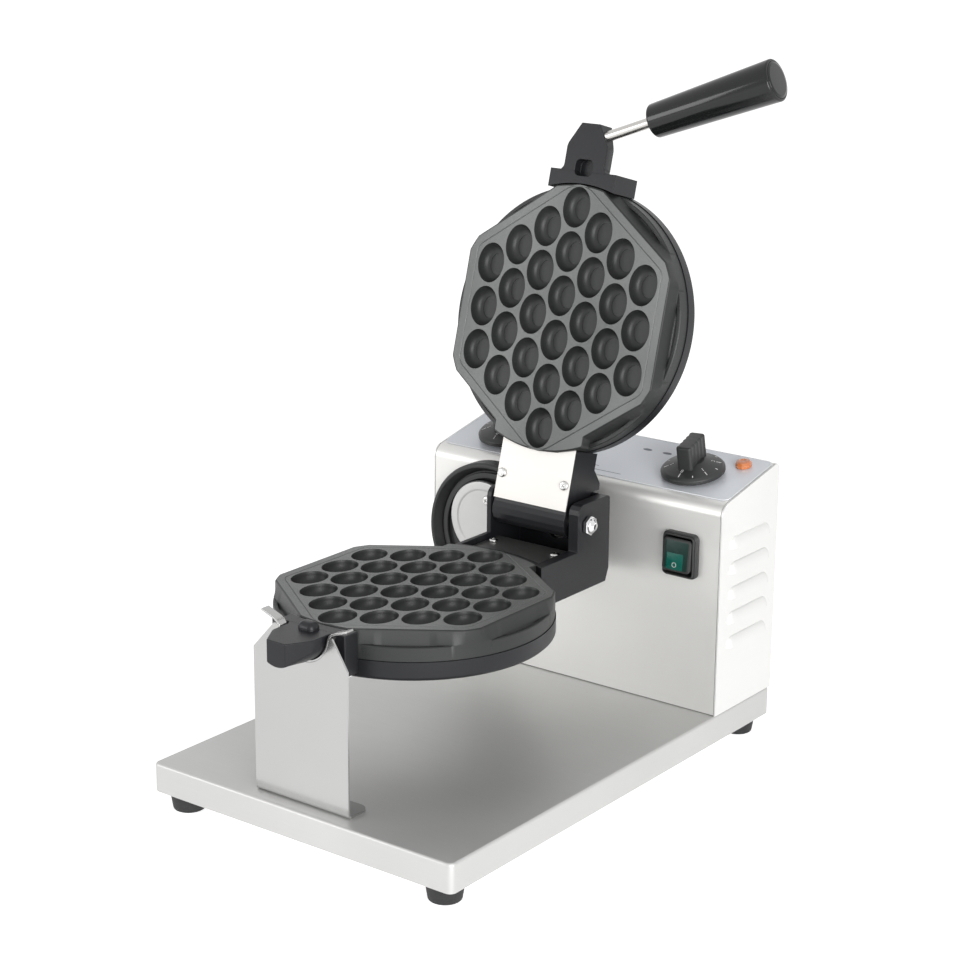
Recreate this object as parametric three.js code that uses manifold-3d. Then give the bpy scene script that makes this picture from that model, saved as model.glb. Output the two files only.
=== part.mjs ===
// Bubble waffle maker for a countertop: two round cooking plates with oval bubble cells, hinged at the back
// in a head that turns over in a front cradle and in a bearing on the control box.
// Millimetres, +Z up, -Y is the front. The origin is the centre of the base's underside, the tops of the feet.
import * as THREE from "three";
import { mergeVertices } from "three/addons/utils/BufferGeometryUtils.js";
import Module from "manifold-3d";

const wasm = await Module();
wasm.setup();

// Clearances, a right angle in degrees and facet counts used all over
const quarterTurn = 90;
const seat = 0.3;
const runningGap = 0.4;
const overrun = 1;
const discSides = 36;
const roundSides = 16;
const smallSides = 8;
const portSides = 24;
const knobSides = 24;
const screwSides = 6;
const nutSides = 6;
const ribSides = 6;
const bendSteps = 3;
const domeProfileShares = [[0, 0], [1, 0], [0.87, 0.5], [0.5, 0.87], [0, 1]];

// Base tray, bottom plate and feet
const trayHeight = 21.4;
const traySheet = 1.2;
const trayCorner = 5;
const trayBend = 2;
const bottomSheet = 1.2;
const bottomInset = 36.5;
const ledgeLap = 8;
const ledgeLength = 10;
const ventLength = 40;
const ventWidth = 4;
const ventPitch = 14;
const ventCount = 5;
const ventRowOffset = 60;
const ventBackGap = 40.5;
const footHeight = 14;
const footTopRadius = 14;
const footBottomRadius = 11.5;
const footChamfer = 1.5;
const footInsetX = 18.5;
const footInsetY = 17;

// Cooking head: parting plane between the two faces, and the centre of the discs
const partingHeight = 148.3;
const faceGap = 0.2;

// Cooking plates: t is the depth behind a plate's face
const discRadius = 99.3;
const raisedInset = 8.8;
const raisedHalfWidth = discRadius - raisedInset;
const raisedApexReach = 12.7;
const raisedApex = discRadius + raisedApexReach;
const raisedSlopeShare = 0.71;
const raisedCorner = 14;
const raisedFlare = 2.6;
const troughDepth = 12;
const lipDepth = 10;
const lipWidth = 3;
const plateThickness = 20;
const landHalfWidth = 40;
const landReach = 25;

// Bubble cells: seven columns of oval bowls
const columnCounts = [3, 4, 5, 6, 5, 4, 3];
const columnSpacingShare = 0.2306;
const columnSpacing = discRadius * columnSpacingShare;
const bubblePitchShare = 0.3323;
const bubblePitch = discRadius * bubblePitchShare;
const bubbleWidthShare = 0.524;
const bubbleHalfWidth = columnSpacing * bubbleWidthShare;
const bubbleLengthShare = 0.4606;
const bubbleHalfLength = bubblePitch * bubbleLengthShare;
const bubbleDepth = 12.5;
const bubbleSides = 12;
const bubbleProfileShares = [[0, 1], [0.55, 1], [0.9, 0.55], [1, 0], [1, -0.1], [0, -0.1]];

// Heating element ring, half sunk in a groove behind each plate
const elementRadius = 3.2;
const elementInset = 39.3;
const elementRing = discRadius - elementInset;
const elementDepth = 20.3;
const elementLeadSpread = 9;
const elementLeadInset = 8.3;
const elementLeadReach = discRadius - elementLeadInset;
const elementSides = 6;
const elementSteps = 20;

// Back shell behind each plate, with its recessed middle
const shellOverhang = 0.7;
const shellRadius = discRadius + shellOverhang;
const shellSheet = 1.5;
const shellDepth = 32;
const shellChamfer = 2.5;
const shellRecessDepth = 26;
const shellRim = 11.5;
const shellRecessRadius = shellRadius - shellRim;
const shellRecessSlope = 2.5;

// Hinge between the yoke of the lower half and the arm of the upper half
const hingeClearance = 47.4;
const hingeReach = discRadius + hingeClearance;
const hingeRise = 17.2;
const openDegrees = 105.3;
const hingeShaftRadius = 6;
const hingeNutRadius = 7.6;
const hingeNutLength = 3.6;
const hingeDomeRadius = 5.8;
const hingeDomeLength = 3.4;

// Upper arm, its cover plate and its stop rib
const armHalfWidth = 33;
const armFace = 5.5;
const armBack = 34;
const armWall = 3.5;
const armBackInset = 22.2;
const armBackEnd = hingeReach - armBackInset;
const barrelRadius = 12.5;
const stopRibRise = 10.8;
const stopRibFootInset = 42.7;
const stopRibFoot = hingeReach - stopRibFootInset;
const stopRibShoulderInset = 30.2;
const stopRibShoulder = hingeReach - stopRibShoulderInset;
const stopRibShoulderRise = 10.2;
const stopRibInset = 3;
const coverFace = 4;
const coverSheet = 1.2;
const coverInset = 6.7;
const coverEnd = hingeReach - coverInset;
const coverScrewMargin = 4.6;
const coverScrewX = armHalfWidth - coverScrewMargin;
const coverScrewInset = 25.7;
const coverScrewReach = hingeReach - coverScrewInset;
const coverScrewBoss = 4.2;

// Yoke: the lower arm with the two cheeks that carry the hinge
const yokeLeftPlay = 1.3;
const yokeRightPlay = 4.5;
const yokeLeftCheek = 3.7;
const yokeRightCheek = 8.5;
const yokeLeftInner = armHalfWidth + yokeLeftPlay;
const yokeRightInner = armHalfWidth + yokeRightPlay;
const yokeLeft = yokeLeftInner + yokeLeftCheek;
const yokeRight = yokeRightInner + yokeRightCheek;
const yokeUnderside = 33;
const yokeFloor = 3.5;
const yokeChannelTop = 1.4;
const yokeCheekReach = 12.4;
const yokeCheekFront = hingeReach - yokeCheekReach;
const yokeBackReach = 29;
const yokeBack = hingeReach + yokeBackReach;
const yokeBackWall = 4;
const yokeCheekCorner = 7;
const yokeBackCorner = 3;
const yokeHeelRun = 4;
const yokeHeelRise = 10;
const rimWall = 4;
const lowerCoverFace = 5.9;
const lowerCoverInset = 2.7;
const lowerCoverEnd = hingeReach - lowerCoverInset;
const lowerScrewInset = 16.7;
const lowerScrewReach = hingeReach - lowerScrewInset;

// Pan-head screws
const screwHeadRadius = 3.6;
const screwHeadHeight = 1.9;
const screwHeadRim = 0.8;
const screwShankRadius = 1.5;
const screwShankLength = 8;
const screwHoleRadius = 1.9;

// T-shaped end blocks that ride in the cradle
const blockFace = 0.4;
const blockReach = 45.5;
const blockTip = discRadius + blockReach;
const blockTipHalfWidth = 8.2;
const blockShoulderReach = 29.1;
const blockShoulder = discRadius + blockShoulderReach;
const blockNeckHalfWidth = 18;
const blockFlangeReach = 10.1;
const blockFlangeFront = discRadius + blockFlangeReach;
const blockFlangeHalfWidth = 29.3;
const blockFlangeThickness = 30;
const blockFlangeLap = 7.3;
const blockFlangeInner = discRadius - blockFlangeLap;
const blockFillet = 4;
const neckRadius = 20;
const neckTipRadius = 12.5;
const neckTaperReach = 30.7;
const neckTaperStart = discRadius + neckTaperReach;
const latchOffset = 12.6;
const latchReach = discRadius + latchOffset;
const latchSlotHalfWidth = 7.7;
const latchSlotHalfLength = 6.1;
const latchSlotCorner = 4;
const latchSlotDepth = 8;
const latchBossRadius = 5;
const latchBossHeight = 5;

// Handle on the upper block
const handleDegrees = 68.5;
const handleDepth = 5;
const rodRadius = 4;
const rodBury = 12;
const rodReach = 40.6;
const gripLength = 101.8;
const gripStartRadius = 12.7;
const gripEndRadius = 15.6;
const gripRim = 1.4;
const gripBore = 30;
const capRadius = 13.4;
const capThickness = 2.4;
const capRecess = 1.8;

// Front stand and the strip of its cradle
const standGap = 18.3;
const standFace = discRadius + standGap;
const standSheet = 1.5;
const standLeft = 45.2;
const standRight = 38.2;
const standDrop = 0.9;
const standTop = partingHeight - trayHeight - standDrop;
const standShoulderDrop = 20.5;
const standShoulder = standTop - standShoulderDrop;
const standTopLeft = 26.6;
const standTopRight = 24.9;
const standFootDepth = 22.6;
const standFootCorner = 8;
const standScrewX = 28;
const standScrewOffset = 3.5;
const standScrewSetback = 12;
const stripSheet = 1.5;
const stripWidth = 7.4;
const lipCurl = 7;
const lipCurlDegrees = 75;
const lipLength = 13.5;

// Control box
const portOffset = 70.5;
const portRadius = 58;
const portMargin = 5.7;
const boxWidth = 2 * (portOffset + portRadius + portMargin);
const boxInset = 0.3;
const trayWidth = boxWidth + 2 * boxInset;
const boxGap = 15.8;
const boxFrontReach = yokeBack + boxGap;
const boxDepth = 80.65;
const standMargin = 11.25;
const headSetback = standMargin + standFace;
const trayDepth = headSetback + boxFrontReach + boxDepth;
const boxSheet = 1.2;
const boxFrontRise = 36.3;
const boxFrontHeight = partingHeight - trayHeight + boxFrontRise;
const boxBackRise = 17.6;
const boxBackHeight = boxFrontHeight + boxBackRise;
const boxFrontBend = 10;
const boxBackBend = 4;

// Louvres in the side panels
const louvreCount = 5;
const louvrePitch = 19.5;
const louvreLowest = 52.6;
const louvreLength = 56;
const louvreSetback = boxDepth / 2;
const louvreHalfHeight = 5.5;
const louvreBulge = 3.4;
const louvreCapSteps = 1;
const louvreSides = 8;

// Controls on the sloped top: s is the distance along the slope from the front corner
const labelMargin = 2.2;
const labelHalfWidth = boxWidth / 2 - labelMargin;
const labelStart = 9.5;
const labelBackGap = 2.15;
const labelLength = boxDepth - labelStart - labelBackGap;
const labelSheet = 0.4;
const labelCorner = 6;
const knobInset = 48.2;
const knobX = boxWidth / 2 - knobInset;
const knobAlong = 37;
const knobSkirtRadius = 24.4;
const knobSkirtHeight = 3.2;
const knobShoulderRadius = 22.4;
const knobShoulderHeight = 5;
const knobDomeRadius = 9;
const knobDomeHeight = 8;
const knobTurnDegrees = 8;
const knobBarHalfWidth = 6.2;
const knobBarHalfLength = 13;
const knobBarHeight = 21;
const knobBarCorner = 2.4;
const knobRibCount = 3;
const knobRibPitch = 6;
const knobRibRadius = 0.8;
const knobGap = 1.2;
const knobShaftRadius = 3;
const knobShaftLength = 16;
const knobHoleRadius = 5;
const timerRadius = 21;
const timerDepth = 28;
const thermostatWidth = 36;
const thermostatLength = 40;
const thermostatDepth = 24;
const controlBoreDepth = 20;
const lampInset = 20.2;
const lampX = boxWidth / 2 - lampInset;
const lampBackGap = 17.15;
const lampAlong = boxDepth - lampBackGap;
const lampRadius = 6.5;
const lampHeight = 5;
const lampTopShare = 0.62;
const lampFacets = 12;
const lampStemRadius = 4.6;
const lampStemLength = 16;
const lampHoleRadius = 5.2;

// Rocker switch on the box front
const switchInset = 34.7;
const switchX = boxWidth / 2 - switchInset;
const switchDrop = 41.7;
const switchHeight = boxFrontHeight - switchDrop;
const switchHalfWidth = 16.5;
const switchHalfHeight = 18;
const switchProud = 6.5;
const switchCorner = 3.5;
const switchFrontInset = 1.6;
const windowHalfWidth = 10.6;
const windowHalfHeight = 13.9;
const switchBodyHalfWidth = 13.6;
const switchBodyHalfHeight = 15.6;
const switchBodyDepth = 20;
const switchCavityDepth = 14;
const rockerHalfWidth = 10;
const rockerHalfHeight = 12.4;
const rockerReach = 7.4;
const rockerDip = 1.5;
const rockerBackDepth = 6;
const rockerBackHalfHeight = 7;
const rockerPivotDepth = 2.4;
const rockerDegrees = 7;

// Round junction housing on the box front, beside the head
const portDrop = 58.6;
const portHeight = boxFrontHeight - portDrop;
const portDepth = 12.5;
const portRimSoft = 1.4;
const portRimWidth = 3.4;
const portBandInset = 9;
const portBandRadius = portRadius - portBandInset;
const portGrooveWidth = 1.3;
const portGrooveDepth = 8.4;
const portBandDepth = 5.8;
const portBandWidth = 4.4;
const portRecessRadius = portBandRadius - portBandWidth;
const portRecessDepth = 9.4;
const portNotchGap = 1.2;
const portLidShift = 7.4;
const portLidRise = 10.2;
const portX = -portOffset;
const portLidX = portX - portLidShift;
const portLidHeight = portHeight + portLidRise;
const portLidRadius = 31.4;
const portLidDrop = 2.7;
const portLidSheet = 1.5;
const portPlinthMargin = 0.6;
const portBoreRadius = 12;
const portScrewOffset = 17.7;
const portScrewTurnDegrees = 12.4;

// Turning shaft of the head and its bearing in the box front
const shaftRadius = 14;
const shaftBoreRadius = 9;
const shaftFlangeRadius = 22;
const shaftFlangeThickness = 4;
const shaftTail = 24.5;
const shaftEnd = boxFrontReach + shaftTail;
const bearingFlangeRadius = 30;
const bearingFlangeThickness = 5;
const bearingSleeveRadius = 18;
const bearingSleeveInside = 13;
const collarRadius = 19.5;
const collarLength = 5;

// Parts inside and behind the box
const terminalWidth = 60;
const terminalDepth = 22;
const terminalHeight = 18;
const terminalPlinth = 2.5;
const terminalCells = 5;
const terminalGroove = 2;
const terminalGrooveDepth = 8;
const terminalSetback = 25;
const glandInset = 38.2;
const glandX = glandInset - boxWidth / 2;
const glandHeight = 26;
const glandBoreRadius = 3.6;
const glandStemRadius = 8;
const glandStemLength = 12;
const glandNutRadius = 11;
const glandNutLength = 5;
const glandDomeRadius = 9;
const glandDomeLength = 10;
const glandMouthRadius = 6;

const steel = new THREE.MeshStandardMaterial({ color: 0xc9cac8, roughness: 0.35, metalness: 0.9 });
const mirrorSteel = new THREE.MeshStandardMaterial({ color: 0xe4e4e2, roughness: 0.15, metalness: 1 });
const chrome = new THREE.MeshStandardMaterial({ color: 0xd8d8d8, roughness: 0.08, metalness: 1 });
const coating = new THREE.MeshStandardMaterial({ color: 0x4a4c4d, roughness: 0.45, metalness: 0.4 });
const blackPaint = new THREE.MeshStandardMaterial({ color: 0x2b2c2f, roughness: 0.5, metalness: 0.2 });
const blackPlastic = new THREE.MeshStandardMaterial({ color: 0x1d1d1f, roughness: 0.4, metalness: 0 });
const rubber = new THREE.MeshStandardMaterial({ color: 0x202022, roughness: 0.9, metalness: 0 });
const labelFilm = new THREE.MeshStandardMaterial({ color: 0xb9bdc8, roughness: 0.5, metalness: 0.2 });
const amberLens = new THREE.MeshStandardMaterial({ color: 0xe06a1c, roughness: 0.2, metalness: 0 });
const greenLens = new THREE.MeshStandardMaterial({ color: 0x0f5c4c, roughness: 0.25, metalness: 0 });
const ceramic = new THREE.MeshStandardMaterial({ color: 0xe6e0d2, roughness: 0.7, metalness: 0 });
const elementSteel = new THREE.MeshStandardMaterial({ color: 0x6d6a66, roughness: 0.6, metalness: 0.8 });

// Closed bodies: corners shared, slivers dropped, faces turned outward
function closed(geometry) {
  const bare = geometry.clone();
  for (const name of Object.keys(bare.attributes)) {
    if (name !== "position") bare.deleteAttribute(name);
  }
  const merged = mergeVertices(bare);
  const at = merged.attributes.position;
  const faces = [];
  let volume = 0;
  const a = new THREE.Vector3();
  const b = new THREE.Vector3();
  const c = new THREE.Vector3();
  for (let i = 0; i < merged.index.count; i += 3) {
    const face = [merged.index.getX(i), merged.index.getX(i + 1), merged.index.getX(i + 2)];
    if (face[0] === face[1] || face[1] === face[2] || face[2] === face[0]) continue;
    a.fromBufferAttribute(at, face[0]);
    b.fromBufferAttribute(at, face[1]);
    c.fromBufferAttribute(at, face[2]);
    volume += a.dot(b.cross(c));
    faces.push(face);
  }
  const turned = volume < 0 ? faces.map(([i, j, k]) => [i, k, j]) : faces;
  merged.setIndex(turned.flat());
  return merged;
}

function toSolid(geometry) {
  const body = closed(geometry);
  return new wasm.Manifold(new wasm.Mesh({
    numProp: 3,
    vertProperties: new Float32Array(body.attributes.position.array),
    triVerts: Uint32Array.from(body.index.array),
  }));
}

function toGeometry(solid) {
  const mesh = solid.getMesh();
  const geometry = new THREE.BufferGeometry();
  geometry.setAttribute("position", new THREE.BufferAttribute(mesh.vertProperties, 3));
  geometry.setIndex(Array.from(mesh.triVerts));
  return geometry;
}

function join(...geometries) {
  return toGeometry(geometries.map(toSolid).reduce((whole, next) => whole.add(next)));
}

function cut(geometry, ...tools) {
  return toGeometry(tools.map(toSolid).reduce((whole, tool) => whole.subtract(tool), toSolid(geometry)));
}

function common(first, second) {
  return toGeometry(toSolid(first).intersect(toSolid(second)));
}

function piece(name, geometry, material, parent) {
  const body = closed(geometry).toNonIndexed();
  body.computeVertexNormals();
  const mesh = new THREE.Mesh(body, material);
  mesh.name = name;
  parent.add(mesh);
  return mesh;
}

// Outlines: corners are [x, y] or [x, y, fillet radius]
function filleted(corners, isLoop = true) {
  const points = [];
  corners.forEach(([x, y, radius = 0], index) => {
    const corner = new THREE.Vector2(x, y);
    const atEnd = !isLoop && (index === 0 || index === corners.length - 1);
    if (radius === 0 || atEnd) {
      points.push(corner);
      return;
    }
    const [px, py] = corners[(index + corners.length - 1) % corners.length];
    const [nx, ny] = corners[(index + 1) % corners.length];
    const back = new THREE.Vector2(px, py).sub(corner).normalize();
    const ahead = new THREE.Vector2(nx, ny).sub(corner).normalize();
    const half = Math.acos(THREE.MathUtils.clamp(back.dot(ahead), -1, 1)) / 2;
    const centre = back.clone().add(ahead).normalize().multiplyScalar(radius / Math.sin(half)).add(corner);
    const start = back.clone().multiplyScalar(radius / Math.tan(half)).add(corner).sub(centre);
    const turn = (Math.PI - 2 * half) * Math.sign(back.cross(ahead)) * -1;
    for (let step = 0; step <= bendSteps; step += 1) {
      const swung = start.clone().rotateAround(new THREE.Vector2(), (turn * step) / bendSteps);
      points.push(swung.add(centre));
    }
  });
  return points;
}

function arcPoints(radius, startDegrees, endDegrees, steps, centreX = 0, centreY = 0) {
  return Array.from({ length: steps + 1 }, (_, step) => {
    const angle = THREE.MathUtils.degToRad(startDegrees + ((endDegrees - startDegrees) * step) / steps);
    return [centreX + radius * Math.cos(angle), centreY + radius * Math.sin(angle)];
  });
}

function rectangle(halfX, halfY, corner = 0) {
  return filleted([
    [halfX, halfY, corner], [-halfX, halfY, corner], [-halfX, -halfY, corner], [halfX, -halfY, corner],
  ]);
}

// A bent sheet's section: a centre line thickened to both sides
function sheetSection(path, sheet) {
  const sides = [[], []];
  path.forEach((point, index) => {
    const before = path[Math.max(index - 1, 0)];
    const after = path[Math.min(index + 1, path.length - 1)];
    const into = point.clone().sub(before).normalize();
    const out = after.clone().sub(point).normalize();
    const along = into.clone().add(out).normalize();
    const reach = sheet / 2 / along.dot(index === 0 ? out : into);
    const normal = new THREE.Vector2(-along.y, along.x).multiplyScalar(reach);
    sides[0].push(point.clone().add(normal));
    sides[1].unshift(point.clone().sub(normal));
  });
  return [...sides[0], ...sides[1]];
}

// Straight prisms of an outline along each axis
function prismZ(outline, from, to) {
  const shape = new THREE.Shape(outline.map((point) => new THREE.Vector2(...point)));
  return new THREE.ExtrudeGeometry(shape, { depth: to - from, bevelEnabled: false }).translate(0, 0, from);
}

function prismY(outline, from, to) {
  return prismZ(outline, -to, -from).rotateX(Math.PI / 2);
}

function prismX(outline, from, to) {
  const turn = new THREE.Matrix4().makeBasis(
    new THREE.Vector3(0, 1, 0), new THREE.Vector3(0, 0, 1), new THREE.Vector3(1, 0, 0),
  );
  return prismZ(outline, from, to).applyMatrix4(turn);
}

function block(x0, x1, y0, y1, z0, z1) {
  const geometry = new THREE.BoxGeometry(x1 - x0, y1 - y0, z1 - z0);
  return geometry.translate((x0 + x1) / 2, (y0 + y1) / 2, (z0 + z1) / 2);
}

// Turned bodies: the profile is a list of [radius, distance along the axis]
function turnedY(profile, sides) {
  return new THREE.LatheGeometry(profile.map((point) => new THREE.Vector2(...point)), sides);
}

function turnedZ(profile, sides) {
  return turnedY(profile, sides).rotateX(Math.PI / 2);
}

function turnedX(profile, sides) {
  return turnedY(profile, sides).rotateZ(-Math.PI / 2);
}

function bar(radius, from, to) {
  return [[0, from], [radius, from], [radius, to], [0, to]];
}

function tube(inner, outer, from, to) {
  return [[inner, from], [outer, from], [outer, to], [inner, to], [inner, from]];
}

// A stack of outlines with the same number of points, closed at both ends
function loft(sections) {
  const count = sections[0].outline.length;
  const positions = sections.flatMap(({ outline, z }) => outline.flatMap((point) => [...point, z]));
  const faces = [];
  for (let level = 0; level + 1 < sections.length; level += 1) {
    for (let i = 0; i < count; i += 1) {
      const a = level * count + i;
      const b = level * count + ((i + 1) % count);
      faces.push(a, b, b + count, a, b + count, a + count);
    }
  }
  const flat = sections[0].outline.map((point) => new THREE.Vector2(...point));
  const top = (sections.length - 1) * count;
  for (const [i, j, k] of THREE.ShapeUtils.triangulateShape(flat, [])) {
    faces.push(i, k, j, top + i, top + j, top + k);
  }
  const geometry = new THREE.BufferGeometry();
  geometry.setAttribute("position", new THREE.Float32BufferAttribute(positions, 3));
  geometry.setIndex(faces);
  return geometry;
}

function softBox(width, depth, height, corner, edge) {
  const sections = [{ outline: rectangle(width / 2, depth / 2, corner), z: 0 }];
  for (let step = 0; step <= bendSteps; step += 1) {
    const angle = ((Math.PI / 2) * step) / bendSteps;
    const inset = edge * (1 - Math.cos(angle));
    const outline = rectangle(width / 2 - inset, depth / 2 - inset, corner - inset);
    sections.push({ outline, z: height - edge + edge * Math.sin(angle) });
  }
  return loft(sections);
}

const machine = new THREE.Group();
const base = new THREE.Group();
const head = new THREE.Group();
const lidPivot = new THREE.Group();
const lid = new THREE.Group();
machine.add(base, head);
head.add(lidPivot);
lidPivot.add(lid);
const headY = headSetback - trayDepth / 2;
head.position.set(0, headY, partingHeight);
lidPivot.position.set(0, hingeReach, hingeRise);
lidPivot.rotation.x = THREE.MathUtils.degToRad(-openDegrees);
lid.position.set(0, -hingeReach, -hingeRise);

// Screw with its head's underside at zero and its shank along +Z
function screwGeometry(shankLength) {
  const slope = screwHeadRadius - screwHeadRim;
  return turnedZ([
    [0, -screwHeadHeight], [slope, -screwHeadHeight], [screwHeadRadius, -screwHeadRim], [screwHeadRadius, 0],
    [screwShankRadius, 0], [screwShankRadius, shankLength], [0, shankLength],
  ], screwSides);
}

function addTray() {
  const outer = softBox(trayWidth, trayDepth, trayHeight, trayCorner, trayBend);
  const inner = softBox(
    trayWidth - 2 * traySheet, trayDepth - 2 * traySheet, trayHeight - traySheet + overrun,
    trayCorner - traySheet, trayBend - traySheet,
  ).translate(0, 0, -overrun);
  const wallX = trayWidth / 2 - traySheet / 2;
  const wallY = trayDepth / 2 - traySheet / 2;
  const ledge = prismZ(rectangle(wallX, wallY, trayCorner - traySheet / 2), bottomSheet, bottomSheet + traySheet);
  const bottomHalfWidth = trayWidth / 2 - bottomInset;
  const window = block(
    ledgeLap - bottomHalfWidth, bottomHalfWidth - ledgeLap, ledgeLength - wallY, wallY - ledgeLength,
    0, trayHeight,
  );
  piece("base_tray", join(cut(outer, inner), cut(ledge, window)), steel, base);

  const sheetHalfLength = trayDepth / 2 - traySheet - seat;
  const sheet = prismZ(rectangle(bottomHalfWidth, sheetHalfLength), 0, bottomSheet);
  const slots = [];
  for (const side of [-1, 1]) {
    for (let index = 0; index < ventCount; index += 1) {
      const slot = rectangle(ventLength / 2, ventWidth / 2);
      const y = trayDepth / 2 - ventBackGap - (index + 1 / 2) * ventPitch;
      slots.push(prismZ(slot, -overrun, bottomSheet + overrun).translate(side * ventRowOffset, y, 0));
    }
  }
  piece("bottom_plate", cut(sheet, ...slots), steel, base);

  const profile = [
    [0, -footHeight], [footBottomRadius - footChamfer, -footHeight],
    [footBottomRadius, footChamfer - footHeight], [footTopRadius, bottomSheet], [0, bottomSheet],
  ];
  for (const [sideX, across] of [[-1, "left"], [1, "right"]]) {
    for (const [sideY, along] of [[-1, "front"], [1, "back"]]) {
      const foot = turnedZ(profile, roundSides);
      foot.translate(sideX * (trayWidth / 2 - footInsetX), sideY * (trayDepth / 2 - footInsetY), 0);
      piece(`foot_${along}_${across}`, foot, rubber, base);
    }
  }
}

function addStand() {
  const face = headY - standFace;
  const cradleOuter = neckRadius + runningGap * 2 + stripSheet;
  const axis = partingHeight - trayHeight;
  const notch = arcPoints(cradleOuter + seat, 0, -180, roundSides / 2, 0, axis);
  const outline = [
    [-standLeft, 0], [standRight, 0], [standRight, standShoulder], [standTopRight, standTop],
    [notch[0][0], standTop], ...notch, [-notch[0][0], standTop], [-standTopLeft, standTop],
    [-standLeft, standShoulder],
  ];
  const plate = prismY(outline, face, face + standSheet);
  const footOutline = filleted([
    [-standLeft, face], [standRight, face], [standRight, face + standFootDepth, standFootCorner],
    [-standLeft, face + standFootDepth, standFootCorner],
  ]);
  const screwY = face + standScrewSetback;
  const holes = [-1, 1].map((side) => turnedZ(bar(screwHoleRadius, -overrun, standSheet + overrun), smallSides)
    .translate(side * standScrewX - standScrewOffset, screwY, 0));
  const bracket = cut(join(plate, prismZ(footOutline, 0, standSheet)), ...holes);
  piece("front_stand", bracket.translate(0, 0, trayHeight), mirrorSteel, base);

  [-1, 1].forEach((side, index) => {
    const screw = screwGeometry(standSheet).rotateX(Math.PI);
    screw.translate(side * standScrewX - standScrewOffset, screwY, trayHeight + standSheet);
    piece(`stand_screw_${index + 1}`, screw, mirrorSteel, base);
  });

  const middle = cradleOuter - stripSheet / 2;
  const curl = arcPoints(lipCurl, 180, 180 - lipCurlDegrees, bendSteps, middle + lipCurl, 0);
  const curlEnd = curl[curl.length - 1];
  const rise = THREE.MathUtils.degToRad(quarterTurn - lipCurlDegrees);
  const tip = [curlEnd[0] + lipLength * Math.cos(rise), curlEnd[1] + lipLength * Math.sin(rise)];
  const right = [...curl.slice(1), tip];
  const left = right.map(([x, z]) => [-x, z]).reverse();
  const line = [...left, ...arcPoints(middle, 180, 360, roundSides / 2), ...right];
  const section = sheetSection(line.map((point) => new THREE.Vector2(...point)), stripSheet);
  const strip = prismY(section, face, face + stripWidth).translate(0, 0, partingHeight);
  piece("cradle_strip", strip, mirrorSteel, base);
}

// Outline of the raised face, grown by a margin
function raisedOutline(margin) {
  const side = raisedHalfWidth + margin;
  const apex = raisedApex + margin * Math.hypot(1, raisedSlopeShare);
  const shoulder = apex - raisedSlopeShare * side;
  return filleted([
    [side, -shoulder, raisedCorner], [side, shoulder, raisedCorner], [0, apex],
    [-side, shoulder, raisedCorner], [-side, -shoulder, raisedCorner], [0, -apex],
  ]);
}

// A cooking plate with its face at zero and its depth along +Z
function cookingPlate() {
  const disc = turnedZ([
    [0, troughDepth - overrun], [discRadius - lipWidth - overrun, troughDepth - overrun],
    [discRadius - lipWidth - overrun, troughDepth], [discRadius - lipWidth, lipDepth], [discRadius, lipDepth],
    [discRadius, plateThickness], [0, plateThickness],
  ], discSides);
  const trough = turnedZ(bar(discRadius - lipWidth - overrun, lipDepth, troughDepth), discSides);
  const raised = loft([
    { outline: raisedOutline(0), z: 0 }, { outline: raisedOutline(raisedFlare), z: troughDepth },
  ]);
  const land = block(-landHalfWidth, landHalfWidth, discRadius - landReach, discRadius, 0, troughDepth);
  const rim = turnedZ(bar(discRadius, 0, troughDepth), discSides);
  const body = join(cut(disc, trough), common(join(raised, land), rim));

  const bowls = columnCounts.flatMap((count, column) => {
    const x = (column - (columnCounts.length - 1) / 2) * columnSpacing;
    return Array.from({ length: count }, (_, row) => {
      const bowl = turnedZ(bubbleProfileShares, bubbleSides);
      bowl.scale(bubbleHalfWidth, bubbleHalfLength, bubbleDepth);
      return bowl.translate(x, (row - (count - 1) / 2) * bubblePitch, 0);
    });
  });
  const half = elementRadius + seat;
  const grooveBottom = elementDepth - elementRadius - seat;
  const groove = turnedZ(
    tube(elementRing - half, elementRing + half, grooveBottom, plateThickness + overrun), discSides,
  );
  const leads = [-1, 1].map((side) => block(
    side * elementLeadSpread - half, side * elementLeadSpread + half, elementRing - elementRadius,
    elementLeadReach + seat, grooveBottom, plateThickness + overrun,
  ));
  return cut(body, ...bowls, join(groove, ...leads));
}

function heatingElement() {
  const gap = THREE.MathUtils.radToDeg(Math.asin(elementLeadSpread / elementRing));
  const start = quarterTurn + gap;
  const ring = new THREE.ArcCurve(
    0, 0, elementRing, THREE.MathUtils.degToRad(start), THREE.MathUtils.degToRad(start + 360 - 2 * gap), false,
  );
  const points = ring.getPoints(elementSteps).map((point) => new THREE.Vector3(point.x, point.y, 0));
  const section = new THREE.Shape(
    arcPoints(elementRadius, 0, 360, elementSides).slice(0, -1).map((point) => new THREE.Vector2(...point)),
  );
  const path = new THREE.CatmullRomCurve3(points);
  const coil = new THREE.ExtrudeGeometry(section, { steps: elementSteps, extrudePath: path });
  const leads = [-1, 1].map((side) => {
    const from = Math.sqrt(elementRing ** 2 - elementLeadSpread ** 2) - elementRadius / 2;
    return turnedY(bar(elementRadius, from, elementLeadReach), elementSides)
      .translate(side * elementLeadSpread, 0, 0);
  });
  return join(coil, ...leads).translate(0, 0, elementDepth);
}

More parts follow.
